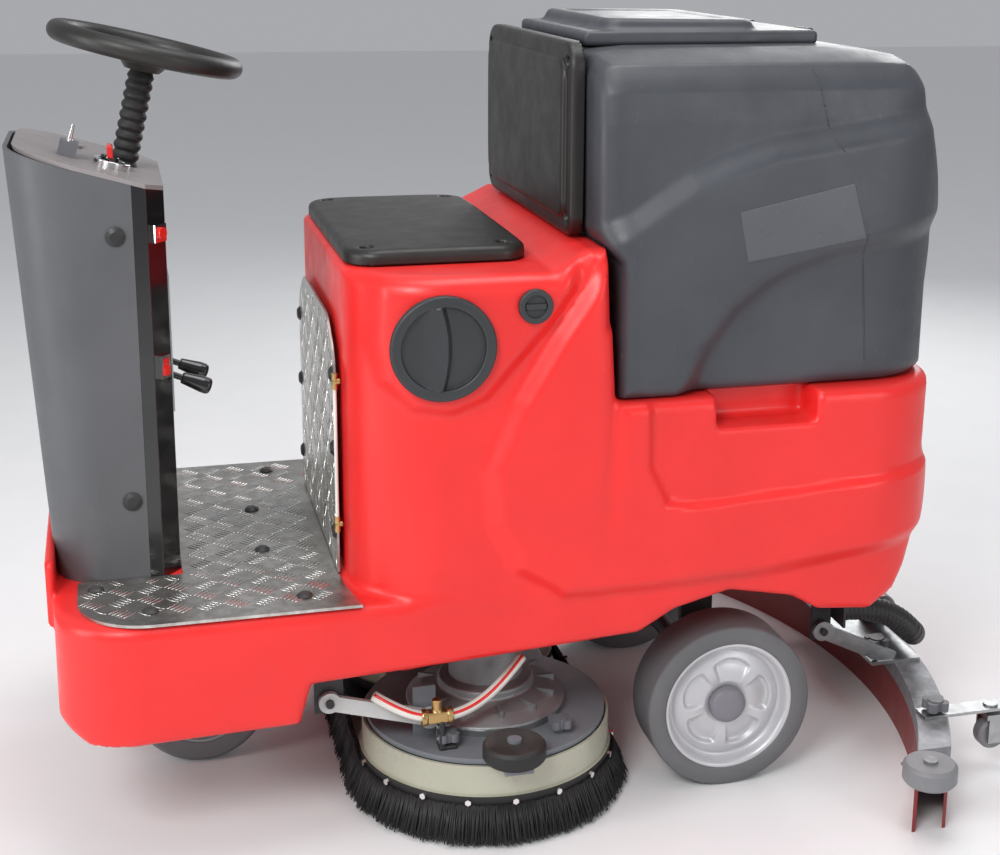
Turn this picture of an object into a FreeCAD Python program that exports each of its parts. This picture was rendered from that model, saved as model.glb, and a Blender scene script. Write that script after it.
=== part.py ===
# Ride-on floor scrubber drier. Millimetres. Front faces -Y, the machine's left side faces +X, floor at Z = 0.
import FreeCAD, Part
import Sketcher
import math
import os

Vector = FreeCAD.Vector
Rotation = FreeCAD.Rotation

# Driving sizes: alias, value, what it is.
table = [
    ("body_width", 660, "red body, side to side"),
    ("body_wall", 6, "wall of the moulded body and tank"),
    ("nose_front", 666, "centre line to the nose, forwards"),
    ("body_rear", 592, "centre line to the rear belt, backwards"),
    ("footwell_height", 352, "floor of the footwell"),
    ("seat_front", 284, "front face of the seat box"),
    ("seat_box_top", 795, "top of the seat box"),
    ("tank_seat", 612, "height the recovery tank rests at"),
    ("tank_top", 1085, "top of the recovery tank"),
    ("tank_front", 51, "front face of the recovery tank"),
    ("tank_rear", 602, "rear bulge of the recovery tank"),
    ("rear_wheel", 250, "rear wheel diameter"),
    ("rear_wheel_width", 80, "rear wheel width"),
    ("rear_wheel_face", 282, "outer face of a rear wheel from the centre line"),
    ("rear_axle_y", 272, "rear axle behind the origin"),
    ("front_wheel", 200, "front wheel diameter"),
    ("front_wheel_width", 62, "front wheel width"),
    ("front_axle_y", 473, "front axle ahead of the origin"),
    ("axle_pin", 20, "rear spindle diameter"),
    ("fork_stem", 40, "diameter of the fork stem"),
    ("running_gap", 0.05, "radial clearance of a shaft in its bore"),
    ("seam_gap", 0.3, "gap between pieces that lie against each other"),
    ("rail_top", 282, "top of the frame rails"),
    ("rail_height", 40, "height of the frame rails"),
    ("column_half", 150, "half the width of the steering column"),
    ("column_rear", 539, "rear edge of the column shell, ahead of the origin"),
    ("column_top", 961, "front tip of the column"),
    ("steering_wheel_size", 265, "outside diameter of the steering wheel"),
    ("steering_tilt", 13.4, "lean of the steering axis, degrees"),
    ("steering_shaft", 16, "diameter of the steering shafts"),
    ("small_sprocket", 24, "radius of the column sprocket"),
    ("large_sprocket", 72, "radius of the fork sprocket"),
    ("brush_radius", 165, "radius of each disc brush"),
    ("brush_offset", 165, "brush centre from the centre line"),
    ("deck_y", 69, "brush centres ahead of the origin"),
    ("deck_plate_z", 112, "underside of the deck plate"),
    ("arm_pin", 12, "diameter of the lift arm pins"),
    ("squeegee_radius", 872, "radius the squeegee is bent to"),
    ("squeegee_y", 640, "middle of the squeegee behind the origin"),
    ("squeegee_half", 425, "half the length of the squeegee body"),
    ("roller_radius", 38, "squeegee wall roller radius"),
    ("hose_size", 38, "outside diameter of the suction hose"),
    ("cap_radius", 70, "radius of the filler cap"),
    ("plate_thickness", 4, "thickness of the tread plate"),
    ("pad_half", 232, "half the width of the seat pad"),
]

doc = FreeCAD.newDocument("RideOnScrubber")
sheet = doc.addObject("Spreadsheet::Sheet", "Sizes")
for row, (alias, value, meaning) in enumerate(table, start=1):
    sheet.set("A%d" % row, alias)
    sheet.set("B%d" % row, str(value))
    sheet.set("C%d" % row, meaning)
    sheet.setAlias("B%d" % row, alias)
doc.recompute()


class Dim:
    """A length with both its present value and the sheet formula behind it."""

    def __init__(self, value, text):
        self.value = value
        self.text = text

    def __add__(self, other):
        other = as_dim(other)
        return Dim(self.value + other.value, "(%s + %s)" % (self.text, other.text))

    def __sub__(self, other):
        other = as_dim(other)
        return Dim(self.value - other.value, "(%s - %s)" % (self.text, other.text))

    def __rsub__(self, other):
        return as_dim(other) - self

    def __mul__(self, factor):
        return Dim(self.value * factor, "(%s * %r)" % (self.text, float(factor)))

    def __truediv__(self, factor):
        return Dim(self.value / factor, "(%s / %r)" % (self.text, float(factor)))

    def __neg__(self):
        return Dim(-self.value, "(0 - %s)" % self.text)

    __radd__ = __add__
    __rmul__ = __mul__


def as_dim(number):
    if isinstance(number, Dim):
        return number
    return Dim(float(number), "(%r)" % float(number))


def size(alias):
    for name, value, meaning in table:
        if name == alias:
            return Dim(float(value), "Sizes.%s" % alias)
    raise KeyError(alias)


def drive(thing, prop, amount):
    amount = as_dim(amount)
    setattr(thing, prop, amount.value)
    thing.setExpression(prop, amount.text)


def place(thing, x=0, y=0, z=0, axis=(0, 0, 1), angle=0):
    where = [as_dim(x), as_dim(y), as_dim(z)]
    base = Vector(where[0].value, where[1].value, where[2].value)
    thing.Placement = FreeCAD.Placement(base, Rotation(Vector(*axis), angle))
    for letter, amount in zip("xyz", where):
        thing.setExpression("Placement.Base.%s" % letter, amount.text)
    return thing


counter = {"made": 0}


def fresh(kind, hint):
    counter["made"] += 1
    return doc.addObject(kind, "%s_%d" % (hint, counter["made"]))


def block(x0, x1, y0, y1, z0, z1):
    """A box between two values on each axis."""
    box = fresh("Part::Box", "block")
    drive(box, "Length", as_dim(x1) - x0)
    drive(box, "Width", as_dim(y1) - y0)
    drive(box, "Height", as_dim(z1) - z0)
    return place(box, x0, y0, z0)


def rod(radius, length, x=0, y=0, z=0, axis=(0, 0, 1), angle=0):
    cylinder = fresh("Part::Cylinder", "rod")
    drive(cylinder, "Radius", radius)
    drive(cylinder, "Height", length)
    return place(cylinder, x, y, z, axis, angle)


def rod_x(radius, x0, x1, y, z):
    """A rod lying across the machine from x0 to x1."""
    return rod(radius, as_dim(x1) - x0, x0, y, z, (0, 1, 0), 90)


def cone(radius_low, radius_high, height, x=0, y=0, z=0, axis=(0, 0, 1), angle=0):
    solid = fresh("Part::Cone", "cone")
    drive(solid, "Radius1", radius_low)
    drive(solid, "Radius2", radius_high)
    drive(solid, "Height", height)
    return place(solid, x, y, z, axis, angle)


def fuse(*things):
    joined = fresh("Part::MultiFuse", "fuse")
    joined.Shapes = list(things)
    return joined


def common(*things):
    shared = fresh("Part::MultiCommon", "common")
    shared.Shapes = list(things)
    return shared


def cut(base, *tools):
    result = fresh("Part::Cut", "cut")
    result.Base = base
    result.Tool = tools[0] if len(tools) == 1 else fuse(*tools)
    return result


def plane_of(body, role):
    for feature in body.Origin.OriginFeatures:
        if feature.Role == role:
            return feature
    raise KeyError(role)


def outline(body, role, corners):
    """A closed sketch through corners (across, up[, radius]), each corner held by the sheet."""
    sketch = body.newObject("Sketcher::SketchObject", "outline")
    sketch.AttachmentSupport = (plane_of(body, role), [""])
    sketch.MapMode = "FlatFace"
    spots = [(as_dim(corner[0]), as_dim(corner[1])) for corner in corners]
    radii = [corner[2] if len(corner) > 2 else 0 for corner in corners]
    points = [Vector(a.value, b.value, 0) for a, b in spots]
    count = len(points)
    entries = []
    exits = []
    for i in range(count):
        before = (points[i - 1] - points[i]).normalize()
        after = (points[(i + 1) % count] - points[i]).normalize()
        radius = as_dim(radii[i]).value
        setback = radius / math.tan(before.getAngle(after) / 2) if radius else 0
        entries.append(points[i] + before * setback)
        exits.append(points[i] + after * setback)
    lines = [Part.LineSegment(exits[i], entries[(i + 1) % count]) for i in range(count)]
    sketch.addGeometry(lines, False)
    marks = sketch.addGeometry([Part.Point(point) for point in points], True)
    for i in range(count):
        for way, amount in (("DistanceX", spots[i][0]), ("DistanceY", spots[i][1])):
            index = sketch.addConstraint(Sketcher.Constraint(way, -1, 1, marks[i], 1, amount.value))
            sketch.setExpression("Constraints[%d]" % index, amount.text)
    for i in range(count):
        line_in = (i - 1) % count
        if not radii[i]:
            sketch.addConstraint(Sketcher.Constraint("Coincident", line_in, 2, marks[i], 1))
            sketch.addConstraint(Sketcher.Constraint("Coincident", i, 1, marks[i], 1))
            continue
        radius = as_dim(radii[i])
        before = (points[i - 1] - points[i]).normalize()
        after = (points[(i + 1) % count] - points[i]).normalize()
        half = before.getAngle(after) / 2
        centre = points[i] + (before + after).normalize() * (radius.value / math.sin(half))
        turns_left = before.cross(after).z < 0
        first, last = (entries[i], exits[i]) if turns_left else (exits[i], entries[i])
        start = math.atan2(first.y - centre.y, first.x - centre.x)
        end = math.atan2(last.y - centre.y, last.x - centre.x)
        if end < start:
            end += 2 * math.pi
        circle = Part.Circle(centre, Vector(0, 0, 1), radius.value)
        arc = sketch.addGeometry(Part.ArcOfCircle(circle, start, end), False)
        entry_end, exit_end = (1, 2) if turns_left else (2, 1)
        sketch.addConstraint(Sketcher.Constraint("PointOnObject", marks[i], 1, line_in))
        sketch.addConstraint(Sketcher.Constraint("PointOnObject", marks[i], 1, i))
        sketch.addConstraint(Sketcher.Constraint("Tangent", line_in, 2, arc, entry_end))
        sketch.addConstraint(Sketcher.Constraint("Tangent", arc, exit_end, i, 1))
        index = sketch.addConstraint(Sketcher.Constraint("Radius", arc, radius.value))
        sketch.setExpression("Constraints[%d]" % index, radius.text)
    return sketch


def prism(role, corners, start, end):
    """A padded outline. XY rises along Z, YZ runs along X."""
    body = fresh("PartDesign::Body", "prism")
    sketch = outline(body, role, corners)
    pad = body.newObject("PartDesign::Pad", "pad")
    pad.Profile = sketch
    drive(pad, "Length", as_dim(end) - start)
    if role == "XY_Plane":
        return place(body, 0, 0, start)
    return place(body, start, 0, 0)


def across(corners, start, end):
    return prism("YZ_Plane", corners, start, end)


def upright(corners, start, end):
    return prism("XY_Plane", corners, start, end)


def turned(corners, x=0, y=0, z=0, axis=(0, 0, 1), angle=0):
    """A shape turned about its own Z axis from corners (radius, height[, corner radius])."""
    body = fresh("PartDesign::Body", "turned")
    sketch = outline(body, "XZ_Plane", corners)
    spin = body.newObject("PartDesign::Revolution", "spin")
    spin.Profile = sketch
    spin.ReferenceAxis = (sketch, ["V_Axis"])
    spin.Angle = 360
    return place(body, x, y, z, axis, angle)


def rounded(half, y0, y1, z0, z1, front_radius, rear_radius):
    """An upright block, equal to each side, with round corners in plan."""
    corners = [(-half, y0, front_radius), (half, y0, front_radius), (half, y1, rear_radius), (-half, y1, rear_radius)]
    return upright(corners, z0, z1)


finished = []


def finish(name, thing):
    thing.Label = name
    finished.append(thing)
    return thing


# ---------------------------------------------------------------- named values
half = size("body_width") / 2
wall = size("body_wall")
nose = -size("nose_front")
rear = size("body_rear")
floor = size("footwell_height")
seat_front = -size("seat_front")
seat_top = size("seat_box_top")
tank_seat = size("tank_seat")
tank_top = size("tank_top")
tank_front = size("tank_front")
tank_rear = size("tank_rear")
gap = size("seam_gap")
run = size("running_gap")
rear_axle_y = size("rear_axle_y")
rear_axle_z = size("rear_wheel") / 2
front_axle_y = -size("front_axle_y")
front_axle_z = size("front_wheel") / 2
rail_top = size("rail_top")
rail_low = rail_top - size("rail_height")
plate_top = floor + size("plate_thickness") + gap
deck_y = -size("deck_y")
offset = size("brush_offset")
plate_z = size("deck_plate_z")
pin = size("arm_pin") / 2
tilt = size("steering_tilt").value
lean = math.radians(tilt)
steer_y = -515
steer_z = 1036


def on_axis(distance):
    """A point on the steering axis, measured down from the hub of the steering wheel."""
    return steer_y - distance * math.sin(lean), steer_z - distance * math.cos(lean)


joint_depth = 455
joint_y, joint_z = on_axis(joint_depth)

# ---------------------------------------------------------------- red body
seat_side = tank_front + 13
lower_profile = across([
    (nose, 184, 35), (nose, floor + 50, 12), (nose + 26, floor + 50, 6), (nose + 26, floor),
    (60, floor), (76, tank_seat), (rear - 19, tank_seat, 8), (rear - 19, 482, 10), (rear, 439, 25),
    (rear - 58, 300, 25), (498, 262, 20), (370, 276, 12), (318, 298, 20), (225, 300, 20), (138, 270, 20),
    (-114, 253), (-346, 242, 15), (-352, 182, 10)], -half, half)
lower = common(lower_profile, rounded(half, nose, rear, 100, 800, 110, 125))
upper_profile = across([
    (seat_front, floor - 12), (seat_front, seat_top, 22), (-12, seat_top, 15), (36, seat_top + 23, 8),
    (seat_side, seat_top + 23, 5), (78, tank_seat), (78, floor - 12)], -half, half)
upper = common(upper_profile, rounded(half, seat_front, 200, floor - 20, 900, 130, 10))
pocket_liner = block(half - 75, half - 1, 212, 377, tank_seat - 58, tank_seat)
inner_low = across([
    (nose + 8, 100), (nose + 8, floor - wall), (70, floor - wall), (70, tank_seat - wall), (rear - 25, tank_seat - wall),
    (rear - 25, 484), (rear - 7, 441), (rear - 64, 304), (rear - 78, 100)], wall - half, half - wall)
inner_low = common(inner_low, rounded(half - wall, nose + 8, rear - wall, 90, 800, 104, 119))
inner_high = across([
    (seat_front + wall, floor - 20), (seat_front + wall, seat_top - wall, 16), (-14, seat_top - wall),
    (30, seat_top + 15), (seat_side - 8, seat_top + 15), (70, tank_seat - wall), (70, floor - 20)],
    wall - half, half - wall)
inner_high = common(inner_high, rounded(half - wall, seat_front + wall, 190, floor - 25, 900, 124, 4))
cap_y = -163
cap_z = 705
cap_radius = size("cap_radius")
plug_y = -41
plug_z = 755
column_x = size("column_half")
shell_cuts = fuse(
    rod_x(cap_radius - 15, half - 12, half + 1, cap_y, cap_z),
    rod_x(17, half - 12, half + 1, plug_y, plug_z),
    block(-column_x - 2, column_x + 2, nose - 1, nose + 27, floor, floor + 60),
    rod(30, 20, 0, joint_y, floor - 12))
body_outer = fuse(lower, upper)
body_hollow = cut(body_outer, inner_low, inner_high)
hinge_pin = 2.5
hinge_spots = (190, 430)
tilt_x = -half - 6
tilt_knuckles = []
tilt_bores = []
for y in hinge_spots:
    tilt_knuckles.append(rod(5.5, 36, tilt_x, y, tank_seat, (1, 0, 0), -90))
    tilt_knuckles.append(block(tilt_x, tilt_x + 9, y, y + 36, tank_seat - 18, tank_seat - 0.5))
    tilt_bores.append(rod(hinge_pin + run, 40, tilt_x, y - 2, tank_seat, (1, 0, 0), -90))
body_pocketed = fuse(body_hollow, pocket_liner, *tilt_knuckles)
pocket = block(half - 66, half + 1, 220, 369, tank_seat - 45, tank_seat + 1)
finish("body_shell", cut(body_pocketed, pocket, shell_cuts, *tilt_bores))

side_cap = fuse(
    rod_x(cap_radius, half + gap, half + 10, cap_y, cap_z),
    rod_x(cap_radius - 15 - 0.5, half - 12, half + gap, cap_y, cap_z))
side_cap = cut(side_cap, rod_x(cap_radius - 12, half + 5, half + 12, cap_y, cap_z))
cap_grip = common(block(half + 4, half + 14, cap_y - 9, cap_y + 9, cap_z - 80, cap_z + 80),
                  rod_x(cap_radius - 8, half + 4, half + 14, cap_y, cap_z))
finish("side_cap", fuse(side_cap, cap_grip))
plug = fuse(rod_x(23, half + gap, half + 5, plug_y, plug_z), rod_x(16.5, half - 12, half + gap, plug_y, plug_z))
finish("port_plug", fuse(plug, block(half + 4, half + 10, plug_y - 18, plug_y + 18, plug_z - 3, plug_z + 3)))

# ---------------------------------------------------------------- frame
rails = [block(side * 76 - 14, side * 76 + 14, -590, 520, rail_low, rail_top) for side in (-1, 1)]
stem = size("fork_stem") / 2
carrier = block(-62, 62, front_axle_y - 45, front_axle_y + 45, rail_low + 6, rail_low + 24)
bearing = rod(stem + 12, 41.7, 0, front_axle_y, rail_low - 3.7)
bar_spots = [(-250, -226), (26, 50)]
tray_bars = [block(-185, 185, y0, y1, rail_top - 2, rail_top + 18) for y0, y1 in bar_spots]
tray = block(-185, 185, -258, 58, rail_top + 18, rail_top + 21)
posts = []
for side in (-1, 1):
    posts.append(block(side * 76 - 8, side * 76 + 8, -352, -340, rail_top - 2, floor - wall - gap))
    posts.append(block(side * 76 - 8, side * 76 + 8, 500, 512, rail_top - 2, tank_seat - wall - gap))
hangers = [block(side * 126 - 6, side * 126 + 6, rear_axle_y - 25, rear_axle_y + 25, rear_axle_z - 15, rail_low + 8)
           for side in (-1, 1)]
rear_bar = block(-132, 132, rear_axle_y - 20, rear_axle_y + 20, rail_low, rail_low + 20)
wheel_face = size("rear_wheel_face")
wheel_inner = wheel_face - size("rear_wheel_width")
spindle = size("axle_pin") / 2
axle_tube = rod_x(spindle + 5, 8 - wheel_inner, wheel_inner - 8, rear_axle_y, rear_axle_z)
axle_rod = rod_x(spindle, 12 - wheel_face, wheel_face - 12, rear_axle_y, rear_axle_z)
arm_bar = block(-250, 250, -330, -300, rail_low, rail_low + 20)
arm_y = -310
arm_z = 190
drops = []
for side in (-1, 1):
    drops.append(block(side * 247 - 3, side * 247 + 3, -330, -290, arm_z - 18, rail_low + 10))
    drops.append(rod_x(pin, side * 254 - 10, side * 254 + 10, arm_y, arm_z))
pivot_y = 476
pivot_z = 167
squeegee_bar = block(-162, 202, 460, 490, rail_low, rail_low + 20)
lugs = []
for side in (-1, 1):
    lugs.append(block(side * 143 - 3, side * 143 + 3, 460, 492, pivot_z - 16, rail_low + 10))
    lugs.append(rod_x(pin, side * 150 - 10, side * 150 + 10, pivot_y, pivot_z))
duct_flange = block(156, 202, 486, 490, rail_low - 50, rail_low + 20)
frame = fuse(*rails, carrier, bearing, *tray_bars, tray, *posts, *hangers, rear_bar, axle_tube, axle_rod,
             arm_bar, *drops, squeegee_bar, *lugs, duct_flange)
frame_hole = rod(stem + run, 60, 0, front_axle_y, rail_low - 10)
finish("chassis_frame", cut(frame, frame_hole))

# ---------------------------------------------------------------- inside the body
batteries = []
battery_floor = rail_top + 21 + gap
for side in (-1, 1):
    case = block(side * 94 - 86, side * 94 + 86, -252, 52, battery_floor, battery_floor + 215)
    lid = block(side * 94 - 82, side * 94 + 82, -248, 48, battery_floor + 215, battery_floor + 235)
    terminals = [rod(9, 18, side * 94 + 50, y, battery_floor + 235) for y in (-220, 20)]
    batteries.append(fuse(case, lid, *terminals))
finish("battery_pack", fuse(*batteries))
vacuum = turned([(0, 0), (72, 0, 6), (72, 60, 4), (58, 66), (58, 130, 10), (30, 138), (30, 158), (0, 158)],
                0, 400, rail_top + gap)
vacuum_arm = rod(22, 70, 0, 400, rail_top + 30, (1, 0, 0), 90)
finish("vacuum_motor", fuse(vacuum, vacuum_arm))

# ---------------------------------------------------------------- tread plates and their screws
foot = upright([(-half + 14, nose + 30, 96), (half - 14, nose + 30, 96), (half - 14, seat_front + 14),
                (236, seat_front - 1), (-236, seat_front - 1), (-half + 14, seat_front + 14)], floor + gap, plate_top)
corner_keep = common(rounded(half + gap, seat_front - gap, 200, floor - 5, floor + 20, 130, 10))
panel_rear = -size("column_rear") + 42
notch = block(-column_x - 1, column_x + 1, nose - 5, panel_rear + 1, floor - 1, floor + 10)
finish("footplate", cut(foot, notch, corner_keep))
plate_face = seat_front - gap
seat_plate = prism("XZ_Plane", [(-200, plate_top + 2), (200, plate_top + 2), (200, 668, 60), (130, 713, 60),
                                (-130, 713, 60), (-200, 668, 60)], 0, 3)
place(seat_plate, 0, plate_face, 0)
finish("seat_front_plate", seat_plate)
screw_spots = [(268, -341), (86, -381), (273, -543), (183, -612)]
screws = []
for side in (-1, 1):
    for x, y in screw_spots:
        screws.append(turned([(0, 0), (11, 0), (11, 1.5), (7, 5, 3), (0, 5.5)], side * x, y, plate_top))
    for z in (415, 535, 640):
        screws.append(turned([(0, 0), (11, 0), (11, 1.5), (7, 5, 3), (0, 5.5)],
                             side * 186, plate_face - 3, z, (1, 0, 0), 90))
    for y, z in ((-562, 833), (-558, 467)):
        screws.append(turned([(0, 0), (13, 0), (13, 2), (7, 5), (0, 5)],
                             column_x * side, y, z, (0, 1, 0), 90 * side))
finish("panel_screws", fuse(*screws))

# level tube: a clear sight tube between two brass elbows on the seat box corner
tube_x = half - 106
elbows = []
for z in (438, 640):
    elbows.append(fuse(rod(4, 10, tube_x, seat_front + 1.3, z, (1, 0, 0), 90), rod(4, 22, tube_x, seat_front - 5.5, z - 11)))
tube = rod(2.5, 640 - 438 - 22, tube_x, seat_front - 5.5, 438 + 11)
level = fuse(*elbows, tube)
finish("level_tube", level)

# ---------------------------------------------------------------- seat
pad_half = size("pad_half")
seat = rounded(pad_half, seat_front + 13, -21, seat_top + gap, seat_top + 25, 48, 40)
finish("seat_pad", seat)

# ---------------------------------------------------------------- recovery tank
tank_low = tank_seat + gap
front_low = 84
tank_profile = across([
    (front_low, tank_low, 8), (front_low, seat_top + 24), (tank_front, seat_top + 40, 12), (tank_front, tank_top, 42),
    (tank_rear - 185, tank_top, 30), (tank_rear - 62, tank_top - 49, 45), (tank_rear - 45, tank_top - 125),
    (tank_rear, tank_top - 237, 40), (tank_rear - 5, tank_top - 300, 20), (tank_rear - 22, tank_top - 350), (tank_rear - 22, tank_low, 20)], -half, half)
tank_plan = rounded(half - 2, tank_front, tank_rear, 500, tank_top + 100, 58, 150)
tank_section = prism("XZ_Plane", [
    (2 - half, 500), (half - 2, 500), (half - 2, tank_top - 185, 60), (half - 14, tank_top - 85, 40),
    (half - 62, tank_top - 35, 60), (half - 130, tank_top, 60), (130 - half, tank_top, 60),
    (62 - half, tank_top - 35, 60), (14 - half, tank_top - 85, 40), (2 - half, tank_top - 185, 60)], 0, 700)
place(tank_section, 0, 690, 0)
tank_outer = common(tank_profile, tank_plan, tank_section)
cavity_profile = across([
    (front_low + 6, tank_low + wall), (front_low + 6, seat_top + 28), (tank_front + 6, seat_top + 44),
    (tank_front + 6, tank_top - 6, 36), (tank_rear - 187, tank_top - 6, 30), (tank_rear - 68, tank_top - 54, 40),
    (tank_rear - 51, tank_top - 127), (tank_rear - 6, tank_top - 239, 30), (tank_rear - 11, tank_top - 298, 15),
    (tank_rear - 28, tank_top - 347),
    (tank_rear - 28, tank_low + wall)], 10 - half, half - 10)
cavity_plan = rounded(half - 8, tank_front + 6, tank_rear - 6, 490, tank_top + 100, 52, 144)
cavity_section = prism("XZ_Plane", [
    (8 - half, 490), (half - 8, 490), (half - 8, tank_top - 187, 60), (half - 20, tank_top - 87, 40),
    (half - 66, tank_top - 41, 50), (half - 132, tank_top - 6, 50), (132 - half, tank_top - 6, 50),
    (66 - half, tank_top - 41, 50), (20 - half, tank_top - 87, 40), (8 - half, tank_top - 187, 60)], 0, 710)
place(cavity_section, 0, 695, 0)
cavity = common(cavity_profile, cavity_plan, cavity_section)
lid_half = 176
lid_front = tank_front + 14
lid_rear = tank_rear - 194
mouth = block(20 - lid_half, lid_half - 20, lid_front + 20, lid_rear - 24, tank_top - 20, tank_top + 5)
spigot = rod(21, 60, 0, tank_rear + 30, 664, (1, 0, 0), 90)
spigot_up = rod(21, 46, 0, tank_rear + 30, 644)
clip = block(-26, 26, tank_rear - 30, tank_rear + 56, 856, 870)
lid_low = tank_top + gap
lid_pin_y = lid_rear + 6
lid_pin_z = lid_low + 6
lid_knuckles = []
tank_lugs = []
for side in (-1, 1):
    mid = 110 * side
    lid_knuckles.append(rod_x(5.5, mid - 18, mid + 18, lid_pin_y, lid_pin_z))
    lid_knuckles.append(block(mid - 18, mid + 18, lid_rear - 4, lid_pin_y, lid_low + 0.5, lid_low + 8))
    for start in (mid - 27, mid + 18.5):
        tank_lugs.append(rod_x(5.5, start, start + 8.5, lid_pin_y, lid_pin_z))
        tank_lugs.append(block(start, start + 8.5, lid_pin_y - 5.5, lid_pin_y + 5.5, tank_top - 4, lid_pin_z))
    tank_lugs.append(rod_x(hinge_pin, mid - 27, mid + 27, lid_pin_y, lid_pin_z))
for y in hinge_spots:
    for start in (y - 9, y + 36.5):
        tank_lugs.append(rod(5.5, 8.5, tilt_x, start, tank_seat, (1, 0, 0), -90))
        tank_lugs.append(block(tilt_x, tilt_x + 12, start, start + 8.5, tank_seat + 0.5, tank_seat + 14))
    tank_lugs.append(rod(hinge_pin, 54, tilt_x, y - 9, tank_seat, (1, 0, 0), -90))
tank_solid = cut(tank_outer, cavity)
tank_solid = fuse(cut(tank_solid, mouth), cut(fuse(spigot, spigot_up), cavity), cut(clip, cavity), *tank_lugs)
finish("recovery_tank", cut(tank_solid, rod(19.4, 40, 0, tank_rear + 30, 845)))
lid_parts = [rounded(lid_half, lid_front, lid_rear, lid_low, lid_low + 9, 26, 26),
             rounded(lid_half - 8, lid_front + 32, lid_rear - 85, lid_low + 8, lid_low + 30, 22, 22)]
lid_bore = rod_x(hinge_pin + run, -140, 140, lid_pin_y, lid_pin_z)
finish("tank_lid", cut(fuse(*lid_parts, *lid_knuckles), lid_bore))
hose_profile = [(0, 0)]
for step in range(12):
    hose_profile += [(19, step * 18), (19, step * 18 + 9), (17.2, step * 18 + 9), (17.2, step * 18 + 18)]
hose_profile += [(0, 216)]
finish("drain_hose", turned(hose_profile, 0, tank_rear + 30, 690 + 0.3))
back_face = tank_front - gap
backrest = prism("XZ_Plane", [(-230, seat_top + 42, 30), (230, seat_top + 42, 30), (230, tank_top - 33, 34), (-230, tank_top - 33, 34)], 0, 26)
place(backrest, 0, back_face, 0)
finish("backrest_pad", backrest)

# ---------------------------------------------------------------- steering column
column_rear = -size("column_rear")
column_top = size("column_top")
slope = 0.293


def column_solid(inset, rear_edge, low, high):
    """The column between two heights, its front leaning forwards towards the top."""
    body = fresh("PartDesign::Body", "column")
    sections = []
    for z, front in ((low, nose + inset), (high, nose - 34 + inset)):
        corners = [(-column_x + inset, front, 74), (column_x - inset, front, 74),
                   (column_x - inset, rear_edge), (-column_x + inset, rear_edge)]
        sketch = outline(body, "XY_Plane", corners)
        offset_z = as_dim(z)
        sketch.AttachmentOffset = FreeCAD.Placement(Vector(0, 0, offset_z.value), Rotation())
        sketch.setExpression("AttachmentOffset.Base.z", offset_z.text)
        sections.append(sketch)
    loft = body.newObject("PartDesign::AdditiveLoft", "loft")
    loft.Profile = sections[0]
    loft.Sections = sections[1:]
    loft.Ruled = True
    return body


def above_dash(drop):
    """Everything above the sloping dash, less a drop."""
    return across([(nose - 60, column_top - drop), (nose - 60, column_top + 100), (nose + 260, column_top + 100),
                   (nose + 260, column_top - drop - 320 * slope)], -column_x - 10, column_x + 10)


column_low = floor + gap
shell_outer = column_solid(0, column_rear, column_low, column_top + 5)
shell_inner = column_solid(5, column_rear + 20, column_low - 5, column_top + 8)
column = cut(shell_outer, shell_inner, above_dash(6 + 0.3))
finish("column_shell", column)
panel_plan = [(-column_x, column_rear + gap), (-column_x, column_rear + 18, 4), (-column_x + 30, column_rear + 42, 4),
              (column_x - 30, column_rear + 42, 4), (column_x, column_rear + 18, 4), (column_x, column_rear + gap)]
panel_inner = [(-column_x + 5, column_rear - 1), (-column_x + 5, column_rear + 16), (-column_x + 32, column_rear + 37),
               (column_x - 32, column_rear + 37), (column_x - 5, column_rear + 16), (column_x - 5, column_rear - 1)]
panel = upright(panel_plan, column_low, column_top)
panel_face = column_rear + 42
lever_mouth = block(-70, 70, panel_face - 8, panel_face + 1, 577, 753)
finish("column_panel", cut(panel, upright(panel_inner, column_low - 5, column_top + 5), above_dash(6.3), lever_mouth))
dash_plan = column_solid(0, column_rear + 0.1, column_top - 100, column_top + 40)
dash_tail = upright([(-column_x, column_rear), (column_x, column_rear), (column_x, column_rear + 18),
                     (column_x - 30, column_rear + 42), (30 - column_x, column_rear + 42), (-column_x, column_rear + 18)],
                    column_top - 100, column_top + 40)
dash = cut(fuse(dash_plan, dash_tail), above_dash(0))
below_dash = across([(nose - 60, column_top - 300), (nose - 60, column_top - 6), (nose + 260, column_top - 6 - 320 * slope),
                     (nose + 260, column_top - 300)], -column_x - 10, column_x + 10)
boot_y, boot_z = on_axis(135)
hole_y, hole_z = on_axis(200)
boot_hole = rod(18.5 + gap, 150, 0, hole_y, hole_z, (1, 0, 0), -tilt)
dash = cut(dash, below_dash, boot_hole)
boot_profile = [(10, 0), (18.5, 0)]
for step in range(9):
    boot_profile += [(18.5, step * 14 + 4), (15.5, step * 14 + 9), (18.5, step * 14 + 14)]
boot_profile += [(15, 134), (10, 134)]
finish("steering_boot", turned(boot_profile, 0, boot_y, boot_z, (1, 0, 0), -tilt))
shaft = size("steering_shaft") / 2
upper_shaft = rod(shaft, joint_depth, 0, joint_y, joint_z, (1, 0, 0), -tilt)
ball = fresh("Part::Sphere", "ball")
drive(ball, "Radius", 16)
place(ball, 0, joint_y, joint_z)
finish("steering_shaft", fuse(upper_shaft, ball))
cup_outer = turned([(0, -30, 0), (10, -30), (23, -14, 4), (23, 5), (0, 5)], 0, joint_y, joint_z)
cup_hollow = fresh("Part::Sphere", "cup")
drive(cup_hollow, "Radius", 16.06)
place(cup_hollow, 0, joint_y, joint_z)
sprocket_z = rail_top + 4
low_shaft = rod(shaft, joint_z - 20 - (sprocket_z - 1), 0, joint_y, sprocket_z - 1)
low_sprocket = rod(size("small_sprocket"), 7, 0, joint_y, sprocket_z)
mouth_relief = block(-40, 40, joint_y - 40, joint_y + 40, joint_z + 3, joint_z + 40)
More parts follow.
